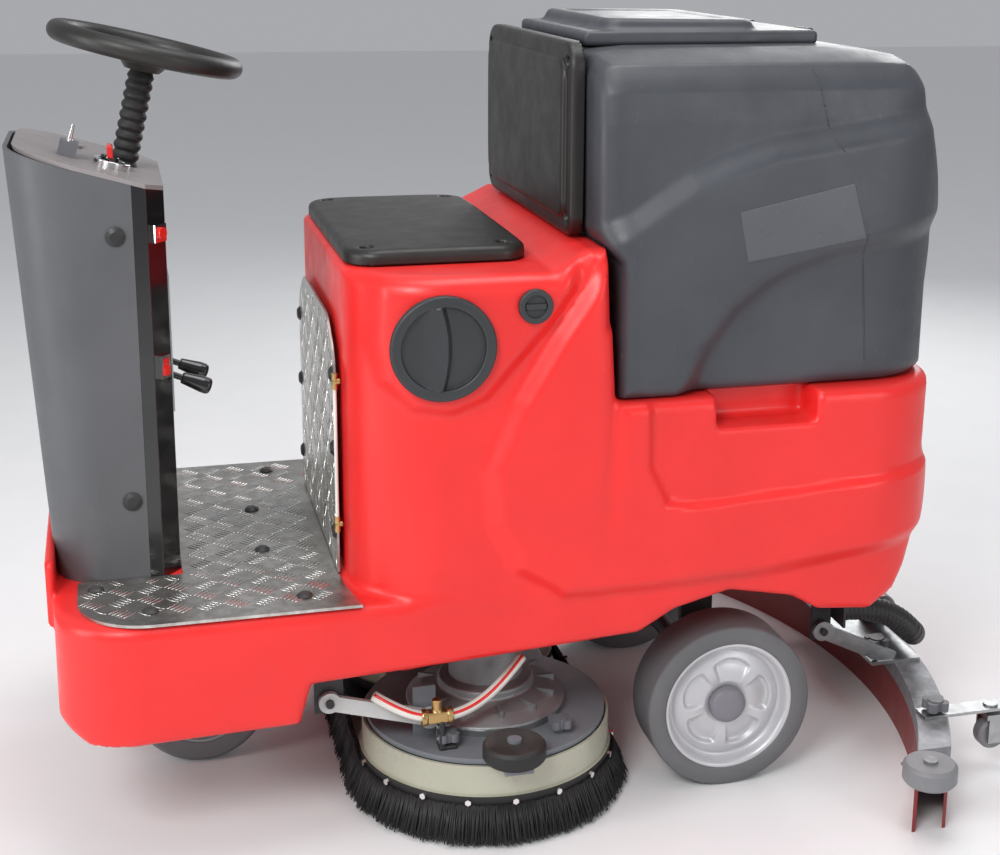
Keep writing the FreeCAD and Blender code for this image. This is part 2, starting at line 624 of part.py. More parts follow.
finish("lower_shaft", cut(fuse(cup_outer, low_shaft, low_sprocket), cup_hollow, mouth_relief))
wheel_y, wheel_z = on_axis(0)
rim_radius = size("steering_wheel_size") / 2 - 14
rim = fresh("Part::Torus", "rim")
drive(rim, "Radius1", rim_radius)
drive(rim, "Radius2", 14)
rim.Placement = FreeCAD.Placement(Vector(0, 0, 30), Rotation())
hub = turned([(0, 0), (24, 0), (34, 12, 4), (34, 22, 5), (26, 26, 3), (0, 26)])
spokes = []
for turn in (90, 210, 330):
    spoke = block(0, rim_radius - 6, -13, 13, 12, 20)
    spoke.Placement = FreeCAD.Placement(Rotation(Vector(0, 0, 1), turn).multVec(Vector(0, -13, 12)),
                                        Rotation(Vector(0, 0, 1), turn).multiply(Rotation(Vector(0, 1, 0), -4)))
    for letter in "xyz":
        spoke.setExpression("Placement.Base.%s" % letter, None)
    spokes.append(spoke)
steering_wheel = fuse(rim, hub, *spokes)
place(steering_wheel, 0, wheel_y, wheel_z, (1, 0, 0), -tilt)
finish("steering_wheel", steering_wheel)

# ---------------------------------------------------------------- dash fittings
dash_angle = math.degrees(math.atan(slope))


def dash_height(y):
    """Top of the dash plate at a distance y, where the tip of the column is nose - 34 - 26."""
    return column_top - slope * (as_dim(y) - (nose - 60))


def on_dash(thing, x, y, lift=0.15):
    """Stands a thing on the dash, square to its slope."""
    turn = math.radians(dash_angle)
    place(thing, x, y + lift * math.sin(turn), dash_height(y) + lift * math.cos(turn), (1, 0, 0), -dash_angle)
    return thing


gauge = fuse(rod(12, 4, -12, 0, 0), rod(12, 4, 12, 0, 0), block(-12, 12, -12, 12, 0, 4))
finish("dash_plate", fuse(dash, on_dash(gauge, -60, -612)))
ring = turned([(17, 0), (25, 0), (25, 9, 2), (17, 9, 2)])
on_dash(ring, 60, -563)
key = fuse(rod(16.7, 12), block(-5, 5, -22, 22, 12, 28))
finish("isolator_key", on_dash(key, 60, -563, 0.4))
bracket = fuse(block(-14, 14, -12, 12, 0, 3), block(-14, -11, -12, 12, 2, 20), block(11, 14, -12, 12, 2, 20))
bracket = fuse(bracket, block(-14, 14, -12, 12, 17, 20))
finish("switch_bracket", on_dash(cut(bracket, rod(5.2, 20, 0, 0, 10)), 60, -620))
toggle = cone(3.5, 2.2, 24, 0, 0, 0)
toggle_foot = fresh("Part::Sphere", "foot")
drive(toggle_foot, "Radius", 5)
finish("toggle_lever", on_dash(fuse(toggle, toggle_foot), 60, -620, 18.4))

# ---------------------------------------------------------------- switches on the chamfer of the rear panel
chamfer = math.degrees(math.atan2(30, 24))
chamfer_x = column_x - 15
chamfer_y = column_rear + 30
chamfer_turn = Rotation(Vector(0, 0, 1), 90 - math.degrees(math.atan2(24, 30)))


def on_chamfer(thing, z, out=0.15):
    """Places a thing modelled with its face along local +X onto the panel's left chamfer."""
    normal = chamfer_turn.multVec(Vector(out, 0, 0))
    place(thing, chamfer_x + normal.x, chamfer_y + normal.y, z, (0, 0, 1), 90 - math.degrees(math.atan2(24, 30)))
    return thing


button_bezel = cut(block(0, 7, -12, 12, -12, 12), rod_x(8.4, -1, 8, 0, 0))
rocker_bezel = cut(block(0, 6, -9, 9, -16, 16), block(-1, 7, -6.5, 6.5, -12.5, 12.5))
on_chamfer(button_bezel, 834)
on_chamfer(rocker_bezel, 651)
finish("switch_bezels", fuse(button_bezel, rocker_bezel, ring))
finish("horn_button", on_chamfer(fuse(rod_x(8, 4, 11, 0, 0), rod_x(7, 3.5, 5, 0, 0)), 834))
rocker = fuse(block(2.4, 5, -6, 6, -11.5, 11.5), block(4.5, 8, -6, 6, -11.5, 0))
finish("rocker_switch", on_chamfer(rocker, 651))

# ---------------------------------------------------------------- hand levers
lever_y = panel_face - 123
lever_z = 665
lever_slope = -22.4
lever_plate = block(-75, 75, panel_face + gap, panel_face + gap + 3, 569, 761)
cheeks = [block(side * 63 - 2, side * 63 + 2, lever_y - 12, panel_face + gap + 1, 640, 690) for side in (-1, 1)]
slots = [block(x - 7, x + 7, panel_face - 3, panel_face + 6, 592, 736) for x in (-40, 40)]
lever_rod = rod_x(5, -63, 63, lever_y, lever_z)
finish("lever_plate", fuse(cut(fuse(lever_plate, *cheeks), *slots), lever_rod))
for name, x in (("lever_right", -40), ("lever_left", 40)):
    arm = fuse(rod(4.5, 150, x, 0, 0, (1, 0, 0), -90), rod_x(11, x - 6, x + 6, 0, 0))
    bore = rod_x(5 + 0.05, x - 8, x + 8, 0, 0)
    grip = turned([(0, 0), (8, 0, 2), (12, 30, 4), (12, 42, 6), (0, 44)], x, 150, 0, (1, 0, 0), -90)
    lever = fuse(cut(arm, bore), grip)
    place(lever, 0, lever_y, lever_z, (1, 0, 0), lever_slope)
    finish(name, lever)

# ---------------------------------------------------------------- front fork and wheel
half_front = size("front_wheel_width") / 2
crown_low = front_axle_z * 2 + 12
fork_arms = []
for side in (-1, 1):
    x0 = side * 44 - 5
    fork_arms.append(block(x0, x0 + 10, front_axle_y - 22, front_axle_y + 22, front_axle_z - 24, crown_low + 10))
crown = block(-49, 49, front_axle_y - 34, front_axle_y + 34, crown_low, rail_low - 4)
fork_stem = rod(stem, sprocket_z + 7 - crown_low, 0, front_axle_y, crown_low)
fork_sprocket = rod(size("large_sprocket"), 7, 0, front_axle_y, sprocket_z)
fork_axle = rod_x(8, -56, 56, front_axle_y, front_axle_z)
finish("front_fork", fuse(*fork_arms, crown, fork_stem, fork_sprocket, fork_axle))
front_radius = size("front_wheel") / 2
finish("front_tyre", turned([(front_radius - 34, -half_front), (front_radius - 8, -half_front, 6),
                             (front_radius, -half_front + 12, 8), (front_radius, half_front - 12, 8),
                             (front_radius - 8, half_front, 6), (front_radius - 34, half_front)],
                            0, front_axle_y, front_axle_z, (0, 1, 0), 90))
hub_radius = front_radius - 34
hub_profile = [(8 + run, -half_front), (26, -half_front, 3), (30, -half_front + 14), (hub_radius - 8, -half_front + 14),
               (hub_radius - 4, -half_front + 2), (hub_radius, -half_front + 2), (hub_radius, half_front - 2),
               (hub_radius - 4, half_front - 2), (hub_radius - 8, half_front - 14), (30, half_front - 14),
               (26, half_front, 3), (8 + run, half_front)]
finish("front_hub", turned(hub_profile, 0, front_axle_y, front_axle_z, (0, 1, 0), 90))
chain_gap = 0.3


def chain_loop(extra):
    """The area inside a chain round both sprockets, grown by extra."""
    r0 = (size("small_sprocket") + extra).value
    r1 = (size("large_sprocket") + extra).value
    distance = front_axle_y.value - joint_y
    bend = math.asin((r1 - r0) / distance)
    spread = (math.cos(bend), math.sin(bend))
    corners = [(r0 * spread[0], joint_y - r0 * spread[1]), (r1 * spread[0], front_axle_y.value - r1 * spread[1]),
               (-r1 * spread[0], front_axle_y.value - r1 * spread[1]), (-r0 * spread[0], joint_y - r0 * spread[1])]
    middle = upright(corners, sprocket_z, sprocket_z + 7)
    return fuse(middle, rod(r0, 7, 0, joint_y, sprocket_z), rod(r1, 7, 0, front_axle_y, sprocket_z))


finish("steering_chain", cut(chain_loop(chain_gap + 5), chain_loop(chain_gap)))

# ---------------------------------------------------------------- rear wheels
tyre_outer = size("rear_wheel") / 2
tyre_half = size("rear_wheel_width") / 2
rim_edge = tyre_outer - 37
wheel_mid = wheel_face - tyre_half
for name, side in (("right", -1), ("left", 1)):
    tyre = turned([(rim_edge, -tyre_half), (tyre_outer - 10, -tyre_half, 8), (tyre_outer, -tyre_half + 14, 10),
                   (tyre_outer, tyre_half - 14, 10), (tyre_outer - 10, tyre_half, 8), (rim_edge, tyre_half)],
                  wheel_mid * side, rear_axle_y, rear_axle_z, (0, 1, 0), 90 * side)
    finish("rear_tyre_" + name, tyre)
    disc = turned([(spindle + run, -tyre_half + 12), (34, -tyre_half + 12, 4), (40, -tyre_half + 26), (rim_edge - 8, -tyre_half + 26),
                   (rim_edge - 6, -tyre_half + 2), (rim_edge, -tyre_half + 2), (rim_edge, tyre_half - 3),
                   (rim_edge - 7, tyre_half - 3, 2), (rim_edge - 10, tyre_half - 18), (30, tyre_half - 12, 6),
                   (24, tyre_half - 6, 3), (spindle + run, tyre_half - 6)])
    scoops = []
    for index in range(5):
        turn = 72 * index
        scoop = rod(13, 30, 62 * math.cos(math.radians(turn)), 62 * math.sin(math.radians(turn)), tyre_half - 26)
        scoops.append(scoop)
    wheel = cut(disc, *scoops)
    place(wheel, wheel_mid * side, rear_axle_y, rear_axle_z, (0, 1, 0), 90 * side)
    cap = turned([(0, 0), (22.5, 0), (22.5, 5, 3), (12, 9, 6), (0, 9)],
                 (wheel_face - 6 + gap) * side, rear_axle_y, rear_axle_z, (0, 1, 0), 90 * side)
    finish("rear_rim_" + name, fuse(wheel, cap))

# ---------------------------------------------------------------- brush deck
deck_radius = size("brush_radius") + 11


def twin(radius, z0, z1, half_depth):
    """Two discs and the block that joins them, the outline of the deck."""
    return fuse(rod(radius, as_dim(z1) - z0, -offset, deck_y, z0), rod(radius, as_dim(z1) - z0, offset, deck_y, z0),
                block(-offset, offset, deck_y - half_depth, deck_y + half_depth, z0, z1))


plate = twin(deck_radius, plate_z, plate_z + 8, 120)
roller_x = offset + 180
tabs = [block(roller_x * side - 31, roller_x * side + 31, deck_y - 20, deck_y + 20, plate_z, plate_z + 8)
        for side in (-1, 1)]
roller_pins = [fuse(rod(6, 32, roller_x * side, deck_y, plate_z + 6),
                    rod(10, 4, roller_x * side, deck_y, plate_z + 8 + 26.6)) for side in (-1, 1)]
deck_pin_y = -170
deck_pin_z = 150
uprights = []
for side in (-1, 1):
    uprights.append(block(side * 245 - 3, side * 245 + 3, deck_pin_y - 22, deck_pin_y + 10, plate_z + 6, deck_pin_z + 45))
    uprights.append(rod_x(pin, side * 252 - 10, side * 252 + 10, deck_pin_y, deck_pin_z))
output_holes = [rod(15, 30, offset * side, deck_y, plate_z - 10) for side in (-1, 1)]
finish("deck_plate", cut(fuse(plate, *tabs, *roller_pins, *uprights), *output_holes))
skirt_outer = fuse(twin(deck_radius + 6, 66, plate_z - gap, 126), twin(deck_radius + 10, 54, 68, 130))
finish("deck_skirt", cut(skirt_outer, twin(deck_radius + 2, 50, plate_z + 5, 122)))


def flare(shrink):
    low = deck_radius + 32 - shrink
    high = deck_radius + 9 - shrink
    return fuse(cone(low, high, 52.7, -offset, deck_y, 1), cone(low, high, 52.7, offset, deck_y, 1),
                block(-offset, offset, deck_y - 128 + shrink, deck_y + 128 - shrink, 1, 53.7))


finish("bristle_curtain", cut(flare(0), flare(7)))
arm_length = math.hypot(deck_pin_y - arm_y, deck_pin_z - arm_z)
arm_angle = math.degrees(math.atan2(deck_pin_z - arm_z, deck_pin_y - arm_y))
arms = []
for side in (-1, 1):
    x0 = side * 255.3 - 4
    bar = block(0, 8, 0, arm_length, -11, 11)
    eyes = [rod_x(15, 0, 8, 0, 0), rod_x(15, 0, 8, arm_length, 0)]
    bores = [rod_x(pin + run, -1, 9, 0, 0), rod_x(pin + run, -1, 9, arm_length, 0)]
    arm = cut(fuse(bar, *eyes), *bores)
    place(arm, x0, arm_y, arm_z, (1, 0, 0), arm_angle)
    arms.append(arm)
finish("deck_arms", fuse(*arms))
motors = []
for side in (-1, 1):
    case = turned([(0, 30), (58, 30), (58, 0), (112, 0), (118, 14, 4), (96, 26, 6), (70, 34, 4), (70, 46, 4),
                   (54, 50), (54, 112, 8), (0, 116)], offset * side, deck_y, plate_z + 8 + gap)
    ribs = []
    for index in range(12):
        rib = block(60, 104, -2.5, 2.5, 10, 32)
        place(rib, offset * side, deck_y, plate_z + 8 + gap + 10, (0, 0, 1), 30 * index)
        turn = math.radians(30 * index)
        place(rib, offset * side + 60 * math.cos(turn) + 2.5 * math.sin(turn),
              deck_y + 60 * math.sin(turn) - 2.5 * math.cos(turn), plate_z + 18 + gap, (0, 0, 1), 30 * index)
        ribs.append(rib)
    motors.append(fuse(case, *ribs))
finish("gear_motors", fuse(*motors))
knobs = []
for side in (-1, 1):
    for x, y in ((285, -150), (285, 12)):
        lobes = [rod(7, 12, x * side + 11 * math.cos(math.radians(90 * k + 45)),
                     y + 11 * math.sin(math.radians(90 * k + 45)), plate_z + 18) for k in range(4)]
        knobs.append(fuse(rod(5, 14, x * side, y, plate_z + 8), rod(11, 14, x * side, y, plate_z + 17), *lobes))
finish("deck_knobs", fuse(*knobs))
for name, side in (("right", -1), ("left", 1)):
    roller = turned([(6 + run, 0), (40, 0, 3), (44, 5, 3), (44, 21, 3), (40, 26, 3), (6 + run, 26)],
                    roller_x * side, deck_y, plate_z + 8 + gap)
    finish("deck_roller_" + name, roller)
    brush = fuse(turned([(0, 56), (150, 56), (150, 74, 5), (60, 84, 6), (0, 84)], offset * side, deck_y, 0),
                 rod(12, plate_z + 38 - 82, offset * side, deck_y, 82),
                 cut(cone(size("brush_radius"), 148, 55, offset * side, deck_y, 1),
                     rod(88, 60, offset * side, deck_y, -1)))
    finish("brush_" + name, brush)

# ---------------------------------------------------------------- squeegee
bend_radius = size("squeegee_radius")
bend_y = size("squeegee_y") - bend_radius
squeegee_half = size("squeegee_half")


def bent_bar(inner, outer, half_length, z0, z1):
    """A bar bent to the squeegee's radius."""
    ring = cut(rod(bend_radius + outer, as_dim(z1) - z0, 0, bend_y, z0),
               rod(bend_radius + inner, as_dim(z1) - z0 + 2, 0, bend_y, as_dim(z0) - 1))
    return common(ring, block(-half_length, half_length, 300, 800, as_dim(z0) - 5, as_dim(z1) + 5))


bar_top = 99.7
channel = cut(bent_bar(-23, 23, squeegee_half, 72.3, bar_top), bent_bar(-17, 17, squeegee_half - 8, 70, 94))
wall_x = squeegee_half + 45
roller_y = bend_y.value - 4 + math.sqrt(bend_radius.value ** 2 - wall_x.value ** 2)
roller_z = 76.3
end_lugs = []
for side in (-1, 1):
    lug_x = (squeegee_half + 21) * side
    end_lugs.append(block(lug_x - 36, lug_x + 36, roller_y - 13, roller_y + 13, 72.3, 76))
    end_lugs.append(rod(5, 36, wall_x * side, roller_y, 74))
    end_lugs.append(rod(10, 4, wall_x * side, roller_y, 106.6))
port_y = size("squeegee_y")
port = fuse(rod(22, 44, 0, port_y, 95), rod_x(22, 0, 36, port_y, 139))
port_bore = rod(18, 60, 0, port_y, 70)
finish("squeegee_body", cut(fuse(channel, *end_lugs, port), port_bore, rod_x(18, 0, 37, port_y, 139)))
finish("squeegee_blades", fuse(bent_bar(-22, -17.5, squeegee_half + 45, 0, 72), bent_bar(17.5, 22, squeegee_half + 45, 0, 72)))
for name, side in (("right", -1), ("left", 1)):
    roller = turned([(5 + run, 0), (size("roller_radius") - 4, 0, 3), (size("roller_radius"), 5, 3),
                     (size("roller_radius"), 25, 3), (size("roller_radius") - 4, 30, 3), (5 + run, 30)],
                    wall_x * side, roller_y, roller_z)
    finish("wall_roller_" + name, roller)
carrier_plate = cut(block(-158, 158, port_y - 78, port_y + 6, bar_top + gap, bar_top + 6), rod(26, 20, 0, port_y, 95))
link_length = math.hypot(port_y.value - pivot_y - 40, pivot_z - 106)
link_angle = math.degrees(math.atan2(106 - pivot_z, port_y.value - pivot_y - 40))
links = []
for side in (-1, 1):
    x0 = side * 151.3 - 4
    bar = block(0, 8, 0, link_length, -12, 12)
    link = cut(fuse(bar, rod_x(16, 0, 8, 0, 0)), rod_x(pin + run, -1, 9, 0, 0))
    place(link, x0, pivot_y, pivot_z, (1, 0, 0), link_angle)
    links.append(link)
link_trim = block(-200, 200, 400, 800, 0, bar_top + gap)
bracket_parts = []
star_knobs = []
for side in (-1, 1):
    bracket_parts.append(cut(block(side * 330 - 15, side * 330 + 15, 556, 692, bar_top + gap, bar_top + 5),
                             rod(6 + run, 20, side * 330, 672, 90)))
    for x, y, z in ((110 * side, 592, bar_top + 6), (330 * side, 580, bar_top + 5)):
        lobes = [rod(8, 14, x + 12 * math.cos(math.radians(90 * k + 45)),
                     y + 12 * math.sin(math.radians(90 * k + 45)), z + 4.2) for k in range(4)]
        star_knobs.append(fuse(rod(6, 5, x, y, z + 0.15), rod(12, 16, x, y, z + 4), *lobes))
finish("squeegee_arm", fuse(carrier_plate, cut(fuse(*links), link_trim), *bracket_parts))
finish("squeegee_knobs", fuse(*star_knobs))
for name, side in (("right", -1), ("left", 1)):
    x = 330 * side
    fork = fuse(rod(6, 14, x, 672, 92), block(x - 19, x + 19, 658, 690, 88, 96),
                block(x - 19, x - 15, 662, 690, 50, 90), block(x + 15, x + 19, 662, 690, 50, 90),
                rod_x(4, x - 18, x + 18, 675, 60), rod(11, 3, x, 672, bar_top + 5.3))
    finish("caster_fork_" + name, fork)
    wheel = turned([(4 + run, -12), (20, -12, 2), (24, -8, 3), (24, 8, 3), (20, 12, 2), (4 + run, 12)],
                   x, 675, 60, (0, 1, 0), 90)
    finish("caster_wheel_" + name, wheel)

# ---------------------------------------------------------------- suction hose
hose_radius = size("hose_size") / 2
stops = [Vector(178, 490.3, 214), Vector(178, 565, 214), Vector(190, 640, 139), Vector(36.3, 640, 139)]


def route(points):
    """Straight runs joined by tangent arcs."""
    runs = [(points[i + 1] - points[i]).Length for i in range(len(points) - 1)]
    edges = []
    previous = points[0]
    for i in range(1, len(points) - 1):
        before = (points[i - 1] - points[i]).normalize()
        after = (points[i + 1] - points[i]).normalize()
        half_turn = (math.pi - before.getAngle(after)) / 2
        setback = 0.45 * min(runs[i - 1], runs[i])
        radius = setback / math.tan(half_turn)
        print("suction hose bend radius %.1f" % radius)
        start = points[i] + before * setback
        end = points[i] + after * setback
        towards = (before + after).normalize()
        centre = points[i] + towards * (radius / math.cos(half_turn))
        middle = centre - towards * radius
        edges.append(Part.LineSegment(previous, start).toShape())
        edges.append(Part.Arc(start, middle, end).toShape())
        previous = end
    edges.append(Part.LineSegment(previous, points[-1]).toShape())
    return Part.Wire(edges)


path = route(stops)
hose = fresh("Part::Feature", "suction_hose")
section = Part.Wire(Part.Circle(stops[0], stops[1] - stops[0], hose_radius.value).toShape())
hose.Shape = path.makePipeShell([section], True, True)
finish("suction_hose", hose)

# ---------------------------------------------------------------- check and write
doc.recompute()
problems = []
for thing in doc.Objects:
    if "Invalid" in thing.State or "Error" in thing.State:
        problems.append("%s (%s) %s" % (thing.Name, thing.Label, thing.State))
for thing in finished:
    if thing.Shape.isNull() or not thing.Shape.isValid() or not thing.Shape.Solids:
        problems.append("%s has no valid solid" % thing.Label)
if problems:
    raise RuntimeError("; ".join(problems[:20]))
os.makedirs("parts", exist_ok=True)
for thing in finished:
    thing.Shape.exportStep(os.path.join("parts", thing.Label + ".step"))
    print("%-20s solids %d volume %.0f" % (thing.Label, len(thing.Shape.Solids), thing.Shape.Volume))
print("nodes", len(finished))
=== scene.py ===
import math
import random

import bpy
import numpy as np
from mathutils import Matrix, Vector


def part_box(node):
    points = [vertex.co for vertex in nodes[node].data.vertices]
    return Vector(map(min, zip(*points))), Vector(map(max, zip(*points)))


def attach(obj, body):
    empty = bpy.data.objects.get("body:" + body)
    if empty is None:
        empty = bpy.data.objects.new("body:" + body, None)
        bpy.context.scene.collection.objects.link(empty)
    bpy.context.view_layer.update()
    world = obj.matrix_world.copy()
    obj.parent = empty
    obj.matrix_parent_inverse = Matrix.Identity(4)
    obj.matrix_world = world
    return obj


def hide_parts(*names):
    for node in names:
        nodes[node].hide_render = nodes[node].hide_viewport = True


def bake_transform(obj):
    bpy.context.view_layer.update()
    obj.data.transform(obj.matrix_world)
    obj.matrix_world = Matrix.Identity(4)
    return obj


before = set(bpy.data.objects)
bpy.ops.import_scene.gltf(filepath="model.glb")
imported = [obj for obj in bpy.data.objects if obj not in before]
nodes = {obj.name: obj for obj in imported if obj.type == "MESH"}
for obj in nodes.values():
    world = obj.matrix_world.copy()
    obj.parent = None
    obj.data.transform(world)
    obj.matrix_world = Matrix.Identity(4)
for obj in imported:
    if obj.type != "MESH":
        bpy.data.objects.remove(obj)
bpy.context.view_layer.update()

random.seed(7)

# Camera and studio


# Lens and sensor in millimetres, place in metres, roll in degrees.
view = {"lens": 58.13, "sensor": 36, "shiftX": -0.0486, "shiftY": -0.0978,
        "place": (2.3037, -0.560, 1.2218),
        "forward": (-0.93730, 0.25520, -0.23734), "roll": 0.6}


def addCamera():
    data = bpy.data.cameras.new("photoCamera")
    data.lens = view["lens"]
    data.sensor_width = view["sensor"]
    data.shift_x = view["shiftX"]
    data.shift_y = view["shiftY"]
    data.clip_end = 50
    camera = bpy.data.objects.new("photoCamera", data)
    bpy.context.collection.objects.link(camera)
    forward = Vector(view["forward"]).normalized()
    side = forward.cross(Vector((0, 0, 1))).normalized()
    up = side.cross(forward)
    roll = math.radians(view["roll"])
    right = side * math.cos(roll) + up * math.sin(roll)
    above = up * math.cos(roll) - side * math.sin(roll)
    turn = Matrix((right, above, -forward)).transposed()
    camera.matrix_world = Matrix.Translation(view["place"]) @ turn.to_4x4()
    bpy.context.scene.camera = camera


def addLight(name, place, target, size, power, tint=(1, 1, 1)):
    data = bpy.data.lights.new(name, "AREA")
    data.shape = "RECTANGLE"
    data.size = size[0]
    data.size_y = size[1]
    data.energy = power
    data.color = tint
    light = bpy.data.objects.new(name, data)
    bpy.context.collection.objects.link(light)
    light.location = place
    light.rotation_euler = (Vector(target) - Vector(place)).to_track_quat("-Z", "Y").to_euler()


def addStudio():
    world = bpy.data.worlds.new("studio")
    bpy.context.scene.world = world
    world.use_nodes = True
    background = world.node_tree.nodes["Background"]
    background.inputs["Color"].default_value = (0.93, 0.95, 1.0, 1)
    background.inputs["Strength"].default_value = 0.42
    addLight("key", (2.6, -1.9, 2.9), (0, 0, 0.5), (1.3, 1.3), 78)
    addLight("fill", (3.2, 1.9, 1.4), (0, 0.1, 0.5), (1.2, 1.8), 20)
    addLight("top", (0.2, 0.2, 3.2), (0, 0, 0.6), (2.0, 1.4), 34)
    addLight("back", (-2.4, 1.6, 2.0), (0, 0, 0.6), (1.5, 1.5), 30)
    addLight("frontStrip", (0.8, -3.0, 1.2), (0, -0.4, 0.6), (0.7, 1.8), 26)


addCamera()
addStudio()
bpy.context.scene.view_settings.view_transform = "Standard"

# Shading helpers


def newTree(name):
    material = bpy.data.materials.new(name)
    material.use_nodes = True
    tree = material.node_tree
    shader = tree.nodes["Principled BSDF"]
    return material, tree, shader


def noiseNode(tree, vector, scale, detail=3.0, roughness=0.55):
    node = tree.nodes.new("ShaderNodeTexNoise")
    node.inputs["Scale"].default_value = scale
    node.inputs["Detail"].default_value = detail
    node.inputs["Roughness"].default_value = roughness
    tree.links.new(vector, node.inputs["Vector"])
    return node.outputs["Fac"]


def remap(tree, value, low, high, toLow, toHigh):
    node = tree.nodes.new("ShaderNodeMapRange")
    node.inputs["From Min"].default_value = low
    node.inputs["From Max"].default_value = high
    node.inputs["To Min"].default_value = toLow
    node.inputs["To Max"].default_value = toHigh
    tree.links.new(value, node.inputs["Value"])
    return node.outputs["Result"]


def mixColor(tree, factor, first, second, blend="MIX"):
    node = tree.nodes.new("ShaderNodeMix")
    node.data_type = "RGBA"
    node.blend_type = blend
    for socket, value in ((node.inputs[0], factor), (node.inputs[6], first), (node.inputs[7], second)):
        if isinstance(value, bpy.types.NodeSocket):
            tree.links.new(value, socket)
        else:
            socket.default_value = value
    return node.outputs[2]


def stretched(tree, vector, scale, turn=(0, 0, 0)):
    node = tree.nodes.new("ShaderNodeMapping")
    node.inputs["Scale"].default_value = scale
    node.inputs["Rotation"].default_value = turn
    tree.links.new(vector, node.inputs["Vector"])
    return node.outputs["Vector"]


def multiply(tree, first, second):
    node = tree.nodes.new("ShaderNodeMath")
    node.operation = "MULTIPLY"
    for socket, value in ((node.inputs[0], first), (node.inputs[1], second)):
        if isinstance(value, bpy.types.NodeSocket):
            tree.links.new(value, socket)
        else:
            socket.default_value = value
    return node.outputs[0]


dustColor = (0.42, 0.40, 0.37, 1)


# A procedural finish: fine grain, blotchy tone, scuffs, worn edges and settled dust.
def surface(name, color, rough=0.45, metal=0.0, grain=900.0, grainDepth=0.06, tone=0.12, scuff=0.0,
            scuffColor=(0.7, 0.7, 0.7), edge=0.0, coat=0.0, dust=0.0, specular=0.5, brushed=None):
    material, tree, shader = newTree(name)
    spot = tree.nodes.new("ShaderNodeTexCoord").outputs["Object"]
    light = tuple(min(1, c * (1 + tone) + tone * 0.01) for c in color) + (1,)
    dark = tuple(c * (1 - tone) for c in color) + (1,)
    cloud = remap(tree, noiseNode(tree, spot, 7, 5), 0.35, 0.68, 0, 1)
    tint = mixColor(tree, cloud, dark, light)
    roughness = remap(tree, noiseNode(tree, spot, 23, 6, 0.65), 0.3, 0.7, max(0.02, rough - 0.07),
                      min(1, rough + 0.09))
    if scuff:
        lines = noiseNode(tree, stretched(tree, spot, (9, 90, 14), (0.3, 0.2, 0.6)), 3.0, 4)
        spread = noiseNode(tree, spot, 4.0, 2)
        mask = multiply(tree, remap(tree, lines, 0.66, 0.74, 0, 1),
                        remap(tree, spread, 0.45, 0.65, 0, scuff))
        tint = mixColor(tree, mask, tint, (*scuffColor, 1))
    if edge:
        bent = tree.nodes.new("ShaderNodeNewGeometry").outputs["Pointiness"]
        worn = multiply(tree, remap(tree, bent, 0.52, 0.60, 0, edge),
                        remap(tree, noiseNode(tree, spot, 60, 4), 0.4, 0.6, 0, 1))
        tint = mixColor(tree, worn, tint, (*scuffColor, 1))
    if dust:
        facing = tree.nodes.new("ShaderNodeNewGeometry").outputs["Normal"]
        parts = tree.nodes.new("ShaderNodeSeparateXYZ")
        tree.links.new(facing, parts.inputs[0])
        settled = multiply(tree, remap(tree, parts.outputs[2], 0.5, 1.0, 0, dust),
                           remap(tree, noiseNode(tree, spot, 15, 6), 0.35, 0.7, 0.2, 1))
        tint = mixColor(tree, settled, tint, dustColor)
    bumpHeight = noiseNode(tree, spot if brushed is None else stretched(tree, spot, brushed), grain, 3)
    bump = tree.nodes.new("ShaderNodeBump")
    bump.inputs["Strength"].default_value = grainDepth
    bump.inputs["Distance"].default_value = 0.002
    tree.links.new(bumpHeight, bump.inputs["Height"])
    tree.links.new(bump.outputs["Normal"], shader.inputs["Normal"])
    tree.links.new(tint, shader.inputs["Base Color"])
    tree.links.new(roughness, shader.inputs["Roughness"])
    shader.inputs["Metallic"].default_value = metal
    shader.inputs["Coat Weight"].default_value = coat
    shader.inputs["Coat Roughness"].default_value = 0.12
    shader.inputs["Specular IOR Level"].default_value = specular
    return material


